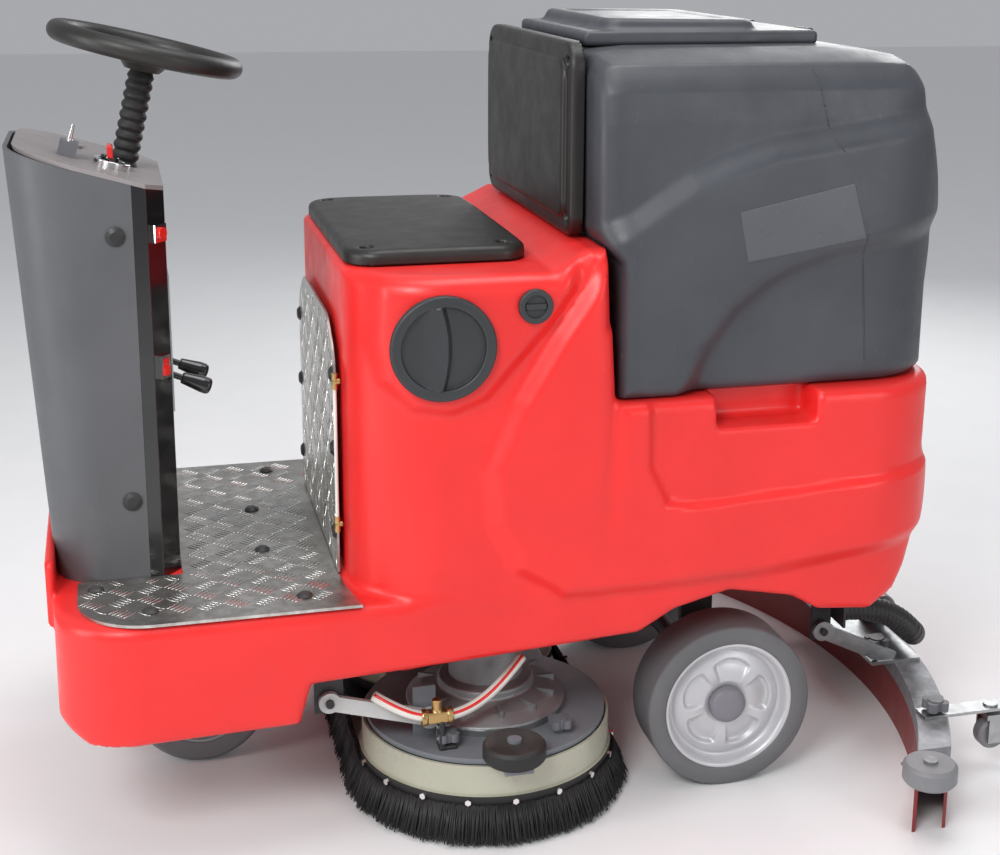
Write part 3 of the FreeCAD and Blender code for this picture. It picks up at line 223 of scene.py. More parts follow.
finishes = {
    "red": surface("redPolythene", (0.83, 0.022, 0.020), 0.36, grain=520, grainDepth=0.05, tone=0.05,
                   scuff=0.10,
                   scuffColor=(0.95, 0.30, 0.25), dust=0.04),
    "tankGrey": surface("greyPolythene", (0.052, 0.056, 0.066), 0.42, grain=420, grainDepth=0.10, tone=0.12,
                        scuff=0.22,
                        scuffColor=(0.32, 0.32, 0.33), dust=0.08),
    "capGrey": surface("capGrey", (0.030, 0.033, 0.036), 0.40, grain=600, grainDepth=0.08, tone=0.10),
    "padBlack": surface("padBlack", (0.016, 0.0145, 0.013), 0.42, grain=700, grainDepth=0.10, tone=0.1,
                        dust=0.01),
    "columnGrey": surface("columnGrey", (0.095, 0.098, 0.105), 0.44, grain=650, grainDepth=0.06, tone=0.08,
                          scuff=0.12,
                          scuffColor=(0.3, 0.3, 0.3), dust=0.08),
    "glossBlack": surface("glossBlack", (0.008, 0.008, 0.009), 0.14, grain=260, grainDepth=0.02, tone=0.2,
                          coat=0.6),
    "dash": surface("dashGrey", (0.26, 0.235, 0.235), 0.45, grain=900, grainDepth=0.06, tone=0.08,
                    dust=0.1),
    "tread": surface("treadAluminium", (0.60, 0.585, 0.555), 0.33, metal=0.95, grain=140, grainDepth=0.12,
                     tone=0.22, scuff=0.5,
                     scuffColor=(0.32, 0.29, 0.25), edge=0.5),
    "bar": surface("treadBar", (0.76, 0.75, 0.72), 0.22, metal=1.0, grain=300, grainDepth=0.08, tone=0.12),
    "steel": surface("zincSteel", (0.36, 0.37, 0.37), 0.34, metal=0.95, grain=220, grainDepth=0.10,
                     tone=0.16, edge=0.2),
    "chrome": surface("chrome", (0.80, 0.80, 0.80), 0.08, metal=1.0, grain=120, grainDepth=0.02, tone=0.05),
    "cast": surface("castAluminium", (0.34, 0.345, 0.35), 0.50, metal=0.75, grain=420, grainDepth=0.35,
                    tone=0.2, dust=0.12),
    "frameBlack": surface("frameBlack", (0.020, 0.020, 0.021), 0.45, grain=500, grainDepth=0.1, tone=0.2,
                          dust=0.15),
    "deckPaint": surface("deckPaint", (0.17, 0.185, 0.205), 0.36, grain=420, grainDepth=0.10, tone=0.12,
                         scuff=0.2, dust=0.12),
    "cream": surface("creamBand", (0.42, 0.42, 0.33), 0.30, grain=300, grainDepth=0.05, tone=0.08,
                     scuff=0.25,
                     scuffColor=(0.35, 0.31, 0.24), coat=0.3),
    "rubber": surface("blackRubber", (0.012, 0.012, 0.012), 0.55, grain=800, grainDepth=0.15, tone=0.2,
                      dust=0.18),
    "tyre": surface("greyTyre", (0.135, 0.135, 0.142), 0.62, grain=700, grainDepth=0.25, tone=0.10,
                    dust=0.10),
    "rim": surface("silverRim", (0.58, 0.58, 0.60), 0.36, metal=0.35, grain=500, grainDepth=0.04, tone=0.05,
                   dust=0.04),
    "hubCap": surface("hubCapGrey", (0.20, 0.195, 0.22), 0.40, grain=700, grainDepth=0.05, tone=0.1),
    "arm": surface("armGrey", (0.50, 0.51, 0.50), 0.35, grain=300, grainDepth=0.06, tone=0.1, edge=0.2),
    "knob": surface("knobGrey", (0.13, 0.135, 0.15), 0.45, grain=600, grainDepth=0.1, tone=0.1, dust=0.08),
    "bristle": surface("bristle", (0.010, 0.010, 0.011), 0.50, grain=300, grainDepth=0.1, tone=0.3),
    "squeegee": surface("squeegeeGrey", (0.20, 0.21, 0.225), 0.40, metal=0.4, grain=420, grainDepth=0.2,
                        tone=0.12, edge=0.15, dust=0.1),
    "gum": surface("redGum", (0.22, 0.02, 0.018), 0.45, grain=300, grainDepth=0.1, tone=0.15),
    "hose": surface("hoseBlack", (0.012, 0.012, 0.013), 0.38, grain=500, grainDepth=0.06, tone=0.2,
                    dust=0.12),
    "redKey": surface("redKey", (0.75, 0.02, 0.015), 0.25, grain=500, grainDepth=0.03, tone=0.06, coat=0.3),
    "brass": surface("brass", (0.56, 0.38, 0.16), 0.32, metal=1.0, grain=300, grainDepth=0.1, tone=0.2),
    "clear": surface("clearTube", (0.75, 0.72, 0.66), 0.12, grain=300, grainDepth=0.02, tone=0.08,
                     coat=0.5),
    "decal": surface("blankDecal", (0.085, 0.09, 0.10), 0.30, grain=900, grainDepth=0.02, tone=0.04),
    "roller": surface("rollerGrey", (0.20, 0.205, 0.215), 0.48, grain=500, grainDepth=0.1, tone=0.1,
                      dust=0.08),
    "battery": surface("batteryCase", (0.03, 0.03, 0.035), 0.5, grain=400, grainDepth=0.1),
}
print("finishes", len(finishes))


def dress(obj, finish):
    obj.data.materials.clear()
    obj.data.materials.append(finishes[finish])


def makeMesh(name, verts, faces, finish, body, smooth=True):
    mesh = bpy.data.meshes.new(name)
    mesh.from_pydata([tuple(v) for v in verts], [], [tuple(int(i) for i in f) for f in faces])
    mesh.update()
    obj = bpy.data.objects.new(name, mesh)
    bpy.context.collection.objects.link(obj)
    if smooth:
        mesh.shade_smooth()
    dress(obj, finish)
    if body:
        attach(obj, body)
    return obj


# Shapes from distance fields, in millimetres


# Signed distance from (a, b) to a closed outline, negative inside.
def polygon(points, a, b):
    best = None
    inside = None
    count = len(points)
    for i in range(count):
        x0, y0 = points[i]
        x1, y1 = points[(i + 1) % count]
        ex, ey = x1 - x0, y1 - y0
        wx, wy = a - x0, b - y0
        t = np.clip((wx * ex + wy * ey) / (ex * ex + ey * ey), 0, 1)
        d = (wx - ex * t) ** 2 + (wy - ey * t) ** 2
        crossing = ((y0 > b) != (y1 > b)) & (a < (x1 - x0) * (b - y0) / (y1 - y0 + 1e-9) + x0)
        best = d if best is None else np.minimum(best, d)
        inside = crossing if inside is None else inside ^ crossing
    return np.sqrt(best) * np.where(inside, -1, 1)


def softMax(a, b, k):
    h = np.maximum(k - np.abs(a - b), 0) / k
    return np.maximum(a, b) + h * h * k * 0.25


def softMin(a, b, k):
    return -softMax(-a, -b, k)


# 1 well inside an outline, 0 well outside, smooth over the width.
def ramp(distance, width):
    t = np.clip(0.5 - distance / width, 0, 1)
    return t * t * (3 - 2 * t)


# A rectangle |a| < aHalf, b0 < b < b1, with its own corner radius at each end of b.
def roundRect(a, b, aHalf, b0, b1, lowRadius, highRadius):
    middle = (b0 + b1) / 2
    r = np.where(b < middle, lowRadius, highRadius)
    qa = np.abs(a) - aHalf + r
    qb = np.abs(b - middle) - (b1 - b0) / 2 + r
    return np.hypot(np.maximum(qa, 0), np.maximum(qb, 0)) + np.minimum(np.maximum(qa, qb), 0) - r


def roundBox(x, y, z, centre, halfSize, radius):
    qx = np.abs(x - centre[0]) - halfSize[0] + radius
    qy = np.abs(y - centre[1]) - halfSize[1] + radius
    qz = np.abs(z - centre[2]) - halfSize[2] + radius
    out = np.sqrt(np.maximum(qx, 0) ** 2 + np.maximum(qy, 0) ** 2 + np.maximum(qz, 0) ** 2)
    return out + np.minimum(np.maximum(np.maximum(qx, qy), qz), 0) - radius


# Quads over the zero level of a field on a regular grid, then pulled onto the level.
def netSurface(field, low, high, step):
    axes = [np.arange(low[i], high[i] + step, step) for i in range(3)]
    x, y, z = axes[0][:, None, None], axes[1][None, :, None], axes[2][None, None, :]
    values = np.broadcast_to(field(x, y, z), tuple(len(a) for a in axes)).astype(np.float32)
    inside = values < 0
    corners = [(i, j, k) for i in (0, 1) for j in (0, 1) for k in (0, 1)]
    total = np.zeros(tuple(n - 1 for n in values.shape), np.int32)
    shape = total.shape
    for i, j, k in corners:
        total += inside[i:i + shape[0], j:j + shape[1], k:k + shape[2]]
    active = (total > 0) & (total < 8)
    index = -np.ones(shape, np.int64)
    cells = np.argwhere(active)
    index[active] = np.arange(len(cells))
    sums = np.zeros((len(cells), 3))
    weights = np.zeros(len(cells))
    for axis in range(3):
        step3 = [0, 0, 0]
        step3[axis] = 1
        for i, j, k in corners:
            if (i, j, k)[axis]:
                continue
            a = values[cells[:, 0] + i, cells[:, 1] + j, cells[:, 2] + k]
            b = values[cells[:, 0] + i + step3[0], cells[:, 1] + j + step3[1], cells[:, 2] + k + step3[2]]
            cross = (a < 0) != (b < 0)
            t = np.where(cross, a / np.where(cross, a - b, 1), 0)
            start = cells + np.array([i, j, k])
            point = start + t[:, None] * np.array(step3)
            sums += point * cross[:, None]
            weights += cross
    verts = sums / weights[:, None] * step + np.array(low)
    quads = []
    for axis in range(3):
        u, v = (axis + 1) % 3, (axis + 2) % 3
        edge = np.diff(inside.astype(np.int8), axis=axis)
        spots = np.argwhere(edge != 0)
        spots = spots[(spots[:, u] > 0) & (spots[:, v] > 0)]
        spots = spots[(spots[:, u] < shape[u]) & (spots[:, v] < shape[v])]
        sign = edge[tuple(spots.T)]
        picks = []
        for du, dv in ((1, 1), (0, 1), (0, 0), (1, 0)):
            cell = spots.copy()
            cell[:, u] -= du
            cell[:, v] -= dv
            picks.append(index[tuple(cell.T)])
        quad = np.stack(picks, axis=1)
        flip = sign > 0
        quad[flip] = quad[flip][:, ::-1]
        quads.append(quad)
    quads = np.concatenate(quads)
    for _ in range(3):
        normals = gradient(field, verts, step * 0.25)
        distance = field(verts[:, 0], verts[:, 1], verts[:, 2])
        verts = verts - normals * np.clip(distance, -step, step)[:, None]
    return verts, quads, gradient(field, verts, step * 0.4)


def gradient(field, verts, e):
    parts = []
    for axis in range(3):
        ahead = verts.copy()
        behind = verts.copy()
        ahead[:, axis] += e
        behind[:, axis] -= e
        parts.append(field(*ahead.T) - field(*behind.T))
    slope = np.stack(parts, axis=1)
    return slope / np.maximum(np.linalg.norm(slope, axis=1, keepdims=True), 1e-6)


def fieldPiece(name, field, low, high, step, finish, body, replaced=None):
    verts, quads, normals = netSurface(field, low, high, step)
    obj = makeMesh(name, verts * 0.001, quads, finish, body)
    obj.data.normals_split_custom_set_from_vertices([tuple(n) for n in normals])
    if replaced:
        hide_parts(replaced)
    print(name, len(quads) * 2, "triangles")
    return obj


# Red body

bodyShape = {
    "half": 316, "bulge": 17,
    "lower": [(-674, 200), (-672, 352), (60, 352), (76, 612), (574, 612), (569, 508), (585, 482),
              (591, 450), (585, 415),
              (566, 380), (540, 325), (516, 292), (470, 268), (388, 275), (345, 300), (252, 318),
              (172, 298), (120, 268),
              (-114, 253), (-336, 242), (-352, 186), (-628, 178)],
    "upper": [(-284, 330), (-284, 795), (-12, 795), (40, 820), (64, 820), (77, 612), (77, 330)],
    "rear": [(66, 812), (-3, 712), (-58, 622), (-98, 530), (-92, 455), (-60, 388), (6, 346), (129, 345),
             (292, 351),
             (485, 374), (700, 394), (700, 720), (66, 720)],
    "plateau": [(-248, 705), (-236, 655), (-200, 622), (-150, 615), (-105, 632), (-14, 735), (14, 775),
                (20, 840), (-240, 840)],
    "panel": [(122, 700), (124, 522), (150, 468), (189, 460), (346, 470), (498, 480), (640, 488),
              (720, 500), (720, 700)],
    "bay": [(-656, 60), (-656, 322), (-340, 322), (-300, 330), (530, 330), (530, 300), (500, 60)],
}


def bodyField(x, y, z):
    left = (x > 0) * 1.0
    bulge = ramp(polygon(bodyShape["rear"], y, z), 30) * bodyShape["bulge"]
    plateau = ramp(polygon(bodyShape["plateau"], y, z), 26) * 14
    out = np.maximum(bulge, plateau * left) - ramp(polygon(bodyShape["panel"], y, z), 14) * 9
    half = bodyShape["half"] + out
    lower = softMax(polygon(bodyShape["lower"], y, z), roundRect(x, y, half, -672, 591, 112, 135), 20)
    upper = softMax(polygon(bodyShape["upper"], y, z), roundRect(x, y, half, -284, 240, 128, 5), 30)
    shape = softMin(lower, upper, 12)
    seat = roundBox(x, y, z, (0, -146, 800), (236, 129, 6), 4)
    rim = roundBox(x, y, z, (0, -671, 352), (176, 6, 47), 5)
    shape = softMin(shape, rim, 8)
    bay = np.maximum(polygon(bodyShape["bay"], y, z), roundRect(x, y, 306, -655, 570, 100, 118))
    pocket = roundBox(x, y, z, (330, 295, 590), (64, 74, 22.5), 10)
    shape = softMax(shape, -bay, 8)
    shape = softMax(shape, -pocket, 10)
    return np.maximum(shape, -seat)


fieldPiece("redBody", bodyField, (-342, -680, 160), (342, 630, 840), 7, "red",
           "chassis",
           "body_shell")

# Grey tank and lid

tankShape = {
    "half": 309, "band": 19,
    "side": [(84, 613), (84, 800), (50, 838), (46, 1040), (60, 1076), (120, 1087), (400, 1089), (508, 1066),
             (534, 1024),
             (549, 960), (574, 905), (591, 860), (590, 790), (573, 740), (571, 613)],
    "section": [(-309, 560), (-309, 985), (-300, 1026), (-272, 1058), (-214, 1080), (-120, 1087),
                (120, 1087), (214, 1080),
                (272, 1058), (300, 1026), (309, 985), (309, 560)],
    "swoosh": [(20, 800), (60, 832), (101, 856), (140, 882), (182, 908), (236, 930), (294, 948), (423, 966),
               (503, 978),
               (700, 1000), (700, 850), (522, 828), (433, 811), (380, 800), (331, 785), (286, 761),
               (246, 730), (205, 676),
               (178, 612), (170, 560), (20, 560)],
}


def tankField(x, y, z):
    band = ramp(polygon(tankShape["swoosh"], y, z), 40) * tankShape["band"]
    outline = roundRect(x, y, tankShape["half"] + band, 46, 591, 46, 150)
    sides = np.abs(x) - tankShape["half"] - band
    section = softMax(polygon(tankShape["section"], x, z) - 1.2 * band * ramp(z - 1000, 80), sides, 10)
    shape = softMax(polygon(tankShape["side"], y, z), outline, 26)
    return softMax(shape, section, 30)


fieldPiece("greyTank", tankField, (-340, 36, 600), (340, 632, 1100), 5.5, "tankGrey",
           "tank",
           "recovery_tank")


def lidField(x, y, z):
    step = roundBox(x, y, z, (0, 237, 1086), (176, 172, 10), 7)
    hood = roundRect(x, y, 168 - (z - 1092) * 0.35, 92 + (z - 1092) * 0.3, 326 - (z - 1092) * 0.35, 26, 26)
    hood = softMax(hood, z - 1113 + (y - 90) * 0.012, 9)
    hood = np.maximum(hood, 1086 - z)
    dish = roundBox(x, y, z, (0, 205, 1118), (128, 84, 8), 6)
    return softMax(softMin(step, hood, 9), -dish, 6)


fieldPiece("tankLid", lidField, (-190, 50, 1070), (190, 420, 1122), 3.5, "tankGrey",
           "lid",
           "tank_lid")

# Seat and backrest pads


def seatField(x, y, z):
    top = 819 - ((x / 232) ** 4) * 3 - (((y + 146) / 125) ** 4) * 2.5
    slab = softMax(roundRect(x, y, 232 - np.maximum(z - 806, 0) * 0.25, -270, -22, 46, 40), z - top, 9)
    slab = np.maximum(slab, 795.5 - z)
    holes = np.minimum(np.hypot(np.abs(x) - 200, y + 240), np.hypot(np.abs(x) - 200, y + 52)) - 9
    return softMax(slab, -np.maximum(holes, 811 - z), 3)


seatPad = fieldPiece("seatPad", seatField, (-240, -280, 790), (240, -12, 826), 3.5,
                     "padBlack", "chassis",
           "seat_pad")


def backField(x, y, z):
    border = softMax(roundRect(x + 6, z, 244, 824, 1085, 32, 38), 30 - y, 8)
    raised = softMax(roundRect(x + 6, z, 222, 846, 1063, 26, 30),
                     22 - y + ((x / 222) ** 4 + ((z - 955) / 108) ** 4) * 1.5, 7)
    both = np.maximum(np.minimum(border, raised), y - 50)
    rows = np.minimum(np.abs(z - 850), np.abs(z - 1058))
    holes = np.hypot(np.abs(x + 6) - 224, rows) - 8
    return softMax(both, -np.maximum(holes, y - 36), 3)


backPad = fieldPiece("backPad", backField, (-256, 12, 816), (244, 58, 1092), 3.5,
                     "padBlack", "tank",
           "backrest_pad")

# Caps on the left side


def capField(x, y, z):
    u, v = y + 163, z - 705
    r = np.hypot(u, v)
    disc = softMax(softMax(r - 70, x - 341, 5), 330.4 - x, 0.5)
    disc = softMax(disc, -np.maximum(r - 55, 333.5 - x), 4)
    d = u - 8 * (1 - (v / 52) ** 2) + 3
    height = np.where(d < 0, 10 * (1 + d / 32), 10 * (1 - d / 6))
    grip = softMax(np.maximum(x - 334 - height, 331 - x) * 0.7, r - 56, 3)
    return softMin(disc, grip, 2)


def plugField(x, y, z):
    r = np.hypot(y + 41, z - 755)
    disc = softMax(softMax(r - 23, x - 339, 3), 330.4 - x, 0.5)
    disc = softMax(disc, -np.maximum(r - 15, 334 - x), 2)
    knob = softMax(softMax(np.abs(z - 755) - 4, r - 14, 1.5), x - 338, 1.5)
    return softMin(disc, np.maximum(knob, 331 - x), 1)


fieldPiece("fillerCap", capField, (326, -238, 630), (350, -88, 780), 1.8, "capGrey", "filler_cap",
           "side_cap")
fieldPiece("portPlug", plugField, (326, -68, 728), (344, -14, 782), 1.1, "capGrey", "port_cap",
           "port_plug")

# Rear wheels


# Turns (radius, height) points about the wheel's axle; sink(radius, angle) pushes a point inwards.
def lathe(name, profile, finish, body, sink, centre, side, count=160):
    verts, faces = [], []
    for r, h, shaped in profile:
        for k in range(count):
            a = 2 * math.pi * k / count
            depth = h - (sink(r, a) if shaped else 0)
            verts.append((centre[0] + side * depth, centre[1] + r * math.cos(a),
                          centre[2] + r * math.sin(a)))
    for i in range(len(profile) - 1):
        for k in range(count):
            n = (k + 1) % count
            quad = (i * count + k, i * count + n, (i + 1) * count + n, (i + 1) * count + k)
            faces.append(quad if side > 0 else quad[::-1])
    return makeMesh(name, np.array(verts) * 0.001, faces, finish, body)


def petals(r, a):
    turn = (a / (2 * math.pi) * 5 + 0.35) % 1 - 0.5
    across = 1 - min(1, max(0, (abs(turn) - 0.33) / 0.07))
    outer = 1 - min(1, max(0, (r - 66 + 10 * (turn * 2) ** 2) / 5))
    inner = min(1, max(0, (r - 34) / 26))
    return 9 * across * outer * inner


def flat(r, a):
    return 0


wheel = {"fromMiddle": 242, "axleY": 272, "axleZ": 125}


def addWheel(name, side):
    centre = (wheel["fromMiddle"] * side, wheel["axleY"], wheel["axleZ"])
    ring = [(96, -38, False), (124, -38, False), (125, -34, False), (125, 34, False), (124.3, 38, False),
            (122, 40, False),
            (101, 40, False), (98, 38, False), (97, 30, False)]
    tyre = lathe("tyre" + name, ring[::-1], "tyre", "rear_wheel_" + name, flat, centre,
                 side)
    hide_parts("rear_tyre_" + name)
    face = [(23 + t * 61, 21 + 11 * math.sin(min(1, t * 1.25) * 1.5) - 14 * t ** 3,
             True) for t in np.linspace(0, 1, 34)]
    face += [(88, 22, False), (90, 30, False), (92, 36, False), (96, 38, False), (99.5, 36.5, False),
             (99.8, 30, False),
             (99.8, -30, False), (90, -34, False), (84, -20, False), (30, -20, False), (12, -24, False),
             (10.3, -24, False)]
    hub = [(10.3, 36, False), (20, 36, False), (22, 34, False), (23, 20, False)]
    rim = lathe("rim" + name, (hub + face)[::-1], "rim", "rear_wheel_" + name, petals,
                centre, side)
    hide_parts("rear_rim_" + name)
    knob = [(0.1, 39.4, False), (16, 39.2, False), (24, 37.5, False), (27, 34, False), (27, 24, False)]
    lathe("hubCap" + name, knob[::-1], "hubCap", "rear_wheel_" + name, flat, centre,
          side, 64)


addWheel("left", 1)
addWheel("right", -1)

# Repeated details, spread with Geometry Nodes


def spreadTree(name, kind, material):
    tree = bpy.data.node_groups.new(name, "GeometryNodeTree")
    tree.interface.new_socket("Geometry", in_out="INPUT", socket_type="NodeSocketGeometry")
    tree.interface.new_socket("Geometry", in_out="OUTPUT", socket_type="NodeSocketGeometry")
    start, end = tree.nodes.new("NodeGroupInput"), tree.nodes.new("NodeGroupOutput")
    shape = tree.nodes.new({"bead": "GeometryNodeMeshUVSphere", "hair": "GeometryNodeMeshCone",
                            "bolt": "GeometryNodeMeshCylinder"}[kind])
    if kind == "bead":
        shape.inputs["Segments"].default_value = 10
        shape.inputs["Rings"].default_value = 6
        shape.inputs["Radius"].default_value = 1
    else:
        shape.inputs["Vertices"].default_value = 5 if kind == "hair" else 6
    if kind == "hair":
        shape.inputs["Radius Top"].default_value = 0.6
        shape.inputs["Radius Bottom"].default_value = 1
        shape.inputs["Depth"].default_value = 1
    if kind == "bolt":
        shape.inputs["Radius"].default_value = 1
        shape.inputs["Depth"].default_value = 1
    reads = {}
    for key in ("up", "along", "grow"):
        reads[key] = tree.nodes.new("GeometryNodeInputNamedAttribute")
        reads[key].data_type = "FLOAT_VECTOR"
        reads[key].inputs["Name"].default_value = key
    first = tree.nodes.new("FunctionNodeAlignRotationToVector")
    first.axis = "Z"
    second = tree.nodes.new("FunctionNodeAlignRotationToVector")
    second.axis = "X"
    second.pivot_axis = "Z"
    spread = tree.nodes.new("GeometryNodeInstanceOnPoints")
    real = tree.nodes.new("GeometryNodeRealizeInstances")
    paint = tree.nodes.new("GeometryNodeSetMaterial")
    paint.inputs["Material"].default_value = material
    links = tree.links
    links.new(start.outputs[0], spread.inputs["Points"])
    links.new(shape.outputs["Mesh"], spread.inputs["Instance"])
    links.new(reads["up"].outputs["Attribute"], first.inputs["Vector"])
    links.new(first.outputs[0], second.inputs["Rotation"])
    links.new(reads["along"].outputs["Attribute"], second.inputs["Vector"])
    links.new(second.outputs[0], spread.inputs["Rotation"])
    links.new(reads["grow"].outputs["Attribute"], spread.inputs["Scale"])
    links.new(spread.outputs[0], real.inputs[0])
    links.new(real.outputs[0], paint.inputs[0])
    links.new(paint.outputs[0], end.inputs[0])
    return tree


# spots holds (place, up, along, grow) in millimetres; each becomes one small solid.
def spreadPieces(name, kind, spots, finish, body):
    mesh = bpy.data.meshes.new(name + "Points")
    mesh.from_pydata([tuple(c * 0.001 for c in s[0]) for s in spots], [], [])
    for index, key in ((1, "up"), (2, "along"), (3, "grow")):
        field = mesh.attributes.new(key, "FLOAT_VECTOR", "POINT")
        scale = 0.001 if key == "grow" else 1
        field.data.foreach_set("vector", [c * scale for s in spots for c in s[index]])
    holder = bpy.data.objects.new(name + "Points", mesh)
    bpy.context.collection.objects.link(holder)
    spread = holder.modifiers.new("spread", "NODES")
    spread.node_group = spreadTree(name + "Nodes", kind, finishes[finish])
    bpy.context.view_layer.update()
    depsgraph = bpy.context.evaluated_depsgraph_get()
    made = bpy.data.meshes.new_from_object(holder.evaluated_get(depsgraph))
    made.name = name
    obj = bpy.data.objects.new(name, made)
    bpy.context.collection.objects.link(obj)
    bpy.data.objects.remove(holder)
    for key in ("up", "along", "grow"):
        if key in made.attributes:
            made.attributes.remove(made.attributes[key])
    if kind != "bolt":
        made.shade_smooth()
    dress(obj, finish)
    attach(obj, body)
    print(name, len(spots), "pieces")
    return obj


# Groups of five beads stand in a chequer; a bead's size is half its length, width and height.
tread = {"pitch": 37, "edge": 14, "step": 6.4, "bead": (12.5, 2.1, 0.9)}


def treadSpots(toPlace, up, axes, width, height, inside):
    spots = []
    pitch, edge = tread["pitch"], tread["edge"]
    for i in range(int(width / pitch) + 1):
        for j in range(int(height / pitch) + 1):
            turn = math.pi / 4 if (i + j) % 2 else -math.pi / 4
            a, b = i * pitch + edge, j * pitch + edge
            for k in range(-2, 3):
                p = a - math.sin(turn) * k * tread["step"]
                q = b + math.cos(turn) * k * tread["step"]
                if inside(p, q):
                    along = [math.cos(turn) * axes[0][c] + math.sin(turn) * axes[1][c] for c in range(3)]
                    spots.append((toPlace(p, q), up, along, tread["bead"]))
    return spots


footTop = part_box("footplate")[1].z * 1000


def onFoot(p, q):
    x, y = p - 300, q - 630
    outside = abs(x) > 300 or y > -300
    corner = math.hypot(max(0, abs(x) - 214), min(0, y + 544)) > 82
    under = abs(x) < 162 and y < -490
    return not (outside or corner or under)


spreadPieces("footTread", "bead",
             treadSpots(lambda p, q: (p - 300, q - 630, footTop), (0, 0, 1), ((1, 0, 0), (0, 1, 0)),
                                             600, 340, onFoot), "bar", "chassis")
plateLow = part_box("seat_front_plate")[0]
plateFace = plateLow.y * 1000


def onPlate(p, q):
    x, z = p - 200, q + plateLow.z * 1000
    return abs(x) < 188 and z < 700 and abs(x) + z < 845 and q > 10


spreadPieces("seatTread", "bead",
             treadSpots(lambda p, q: (p - 200, plateFace, q + plateLow.z * 1000), (0, -1, 0),
                                             ((1, 0, 0), (0, 0, 1)), 400, 345, onPlate), "bar", "chassis")


# The discs stand at -apart and +apart across the machine; a row is (radius, how many at each end).
brushDeck = {"apart": 165, "middle": -69, "boltRing": 189, "boltHeight": 61, "boltSize": (4.6, 4.6, 5)}
bristleShape = {"rows": ((184, 420), (187, 460), (190, 480)), "lean": (0.28, 0.46), "length": (46, 55),
                "root": 56,
                "floorGap": 1.0, "thickness": (1.5, 0.9), "shortShare": 0.03, "shortLength": 0.8}


# Points and outward directions round the twin-disc outline of the brush deck.
def deckOutline(radius, count):
    points = []
    apart, middle = brushDeck["apart"], brushDeck["middle"]
    for side in (1, -1):
        for k in range(count):
            a = math.pi * (k + 0.5) / count - math.pi / 2
            x, y = side * (apart + radius * math.cos(a)), middle + radius * math.sin(a)
            points.append((x, y, side * math.cos(a), math.sin(a)))
    straight = int(count * 2 * apart / (math.pi * radius))
    for side in (1, -1):
        for k in range(straight):
            points.append((-apart + 2 * apart * (k + 0.5) / straight, middle + side * radius, 0, side))
    return points


bristles = []
for radius, count in bristleShape["rows"]:
    for x, y, nx, ny in deckOutline(radius, count):
        lean = random.uniform(*bristleShape["lean"]) + 0.06 * math.sin(x * 0.11 + y * 0.07)
        twist = random.gauss(0, 0.07)
        length = random.uniform(*bristleShape["length"])
        if random.random() <= bristleShape["shortShare"]:
            length *= bristleShape["shortLength"]
        up = Vector((nx * lean - ny * twist, ny * lean + nx * twist, -1)).normalized()
        z = bristleShape["root"] + random.uniform(-1, 1)
        length = min(length, (z - bristleShape["floorGap"]) / -up.z)
        place = (x, y, z)
        bristles.append((place, tuple(up), (ny, -nx, 0.01), (*bristleShape["thickness"], length)))
curtain = spreadPieces("bristles", "hair", bristles, "bristle", "deck")
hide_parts("bristle_curtain")
ringBolts = []
for x, y, nx, ny in deckOutline(brushDeck["boltRing"], 9):
    ringBolts.append(((x, y, brushDeck["boltHeight"]), (nx, ny, 0), (0, 0, 1), brushDeck["boltSize"]))
spreadPieces("ringBolts", "bolt", ringBolts, "chrome", "deck")

# Hoses


# Points in metres along the smooth line of a route's control points.
def routeLine(name, points, resolution=20):
    data = bpy.data.curves.new(name, "CURVE")
    data.dimensions = "3D"
    spline = data.splines.new("NURBS")
    spline.points.add(len(points) - 1)
    for point, place in zip(spline.points, points):
        point.co = (*place, 1)
    spline.use_endpoint_u = True
    spline.order_u = 3
    spline.resolution_u = resolution
    holder = bpy.data.objects.new(name, data)
    bpy.context.collection.objects.link(holder)
    bpy.context.view_layer.update()
    mesh = bpy.data.meshes.new_from_object(holder)
    line = [v.co.copy() for v in mesh.vertices]
    bpy.data.objects.remove(holder)
    bpy.data.meshes.remove(mesh)
    return line


def corrugatedHose(name, points, radius, pitch, finish, body, sides=28):
    line = routeLine(name + "Route", points)
    length = sum((b - a).length for a, b in zip(line, line[1:]))
    steps = int(length / pitch * 6)
    marks = [0]
    for a, b in zip(line, line[1:]):
        marks.append(marks[-1] + (b - a).length)
    verts, faces, side = [], [], None
    for i in range(steps + 1):
        s = length * i / steps
        k = min(len(line) - 2, max(0, int(np.searchsorted(marks, s)) - 1))
        t = (s - marks[k]) / max(1e-9, marks[k + 1] - marks[k])
        place = line[k].lerp(line[k + 1], t)
        ahead = (line[min(len(line) - 1, k + 2)] - line[max(0, k - 1)]).normalized()
        if side is None:
            side = ahead.orthogonal().normalized()
        side = (side - ahead * side.dot(ahead)).normalized()
        other = ahead.cross(side)
        wave = radius - 0.0016 * (1 - abs(math.sin(math.pi * s / pitch)) ** 0.6)
        for j in range(sides):
            a = 2 * math.pi * j / sides
            verts.append(place + side * wave * math.cos(a) + other * wave * math.sin(a))
    for i in range(steps):
        for j in range(sides):
            n = (j + 1) % sides
            faces.append((i * sides + j, i * sides + n, (i + 1) * sides + n, (i + 1) * sides + j))
    faces.append(tuple(range(sides))[::-1])
    faces.append(tuple(steps * sides + j for j in range(sides)))
    obj = makeMesh(name, verts, faces, finish, body)
    print(name, "length", round(length, 4))
    return obj, line, length


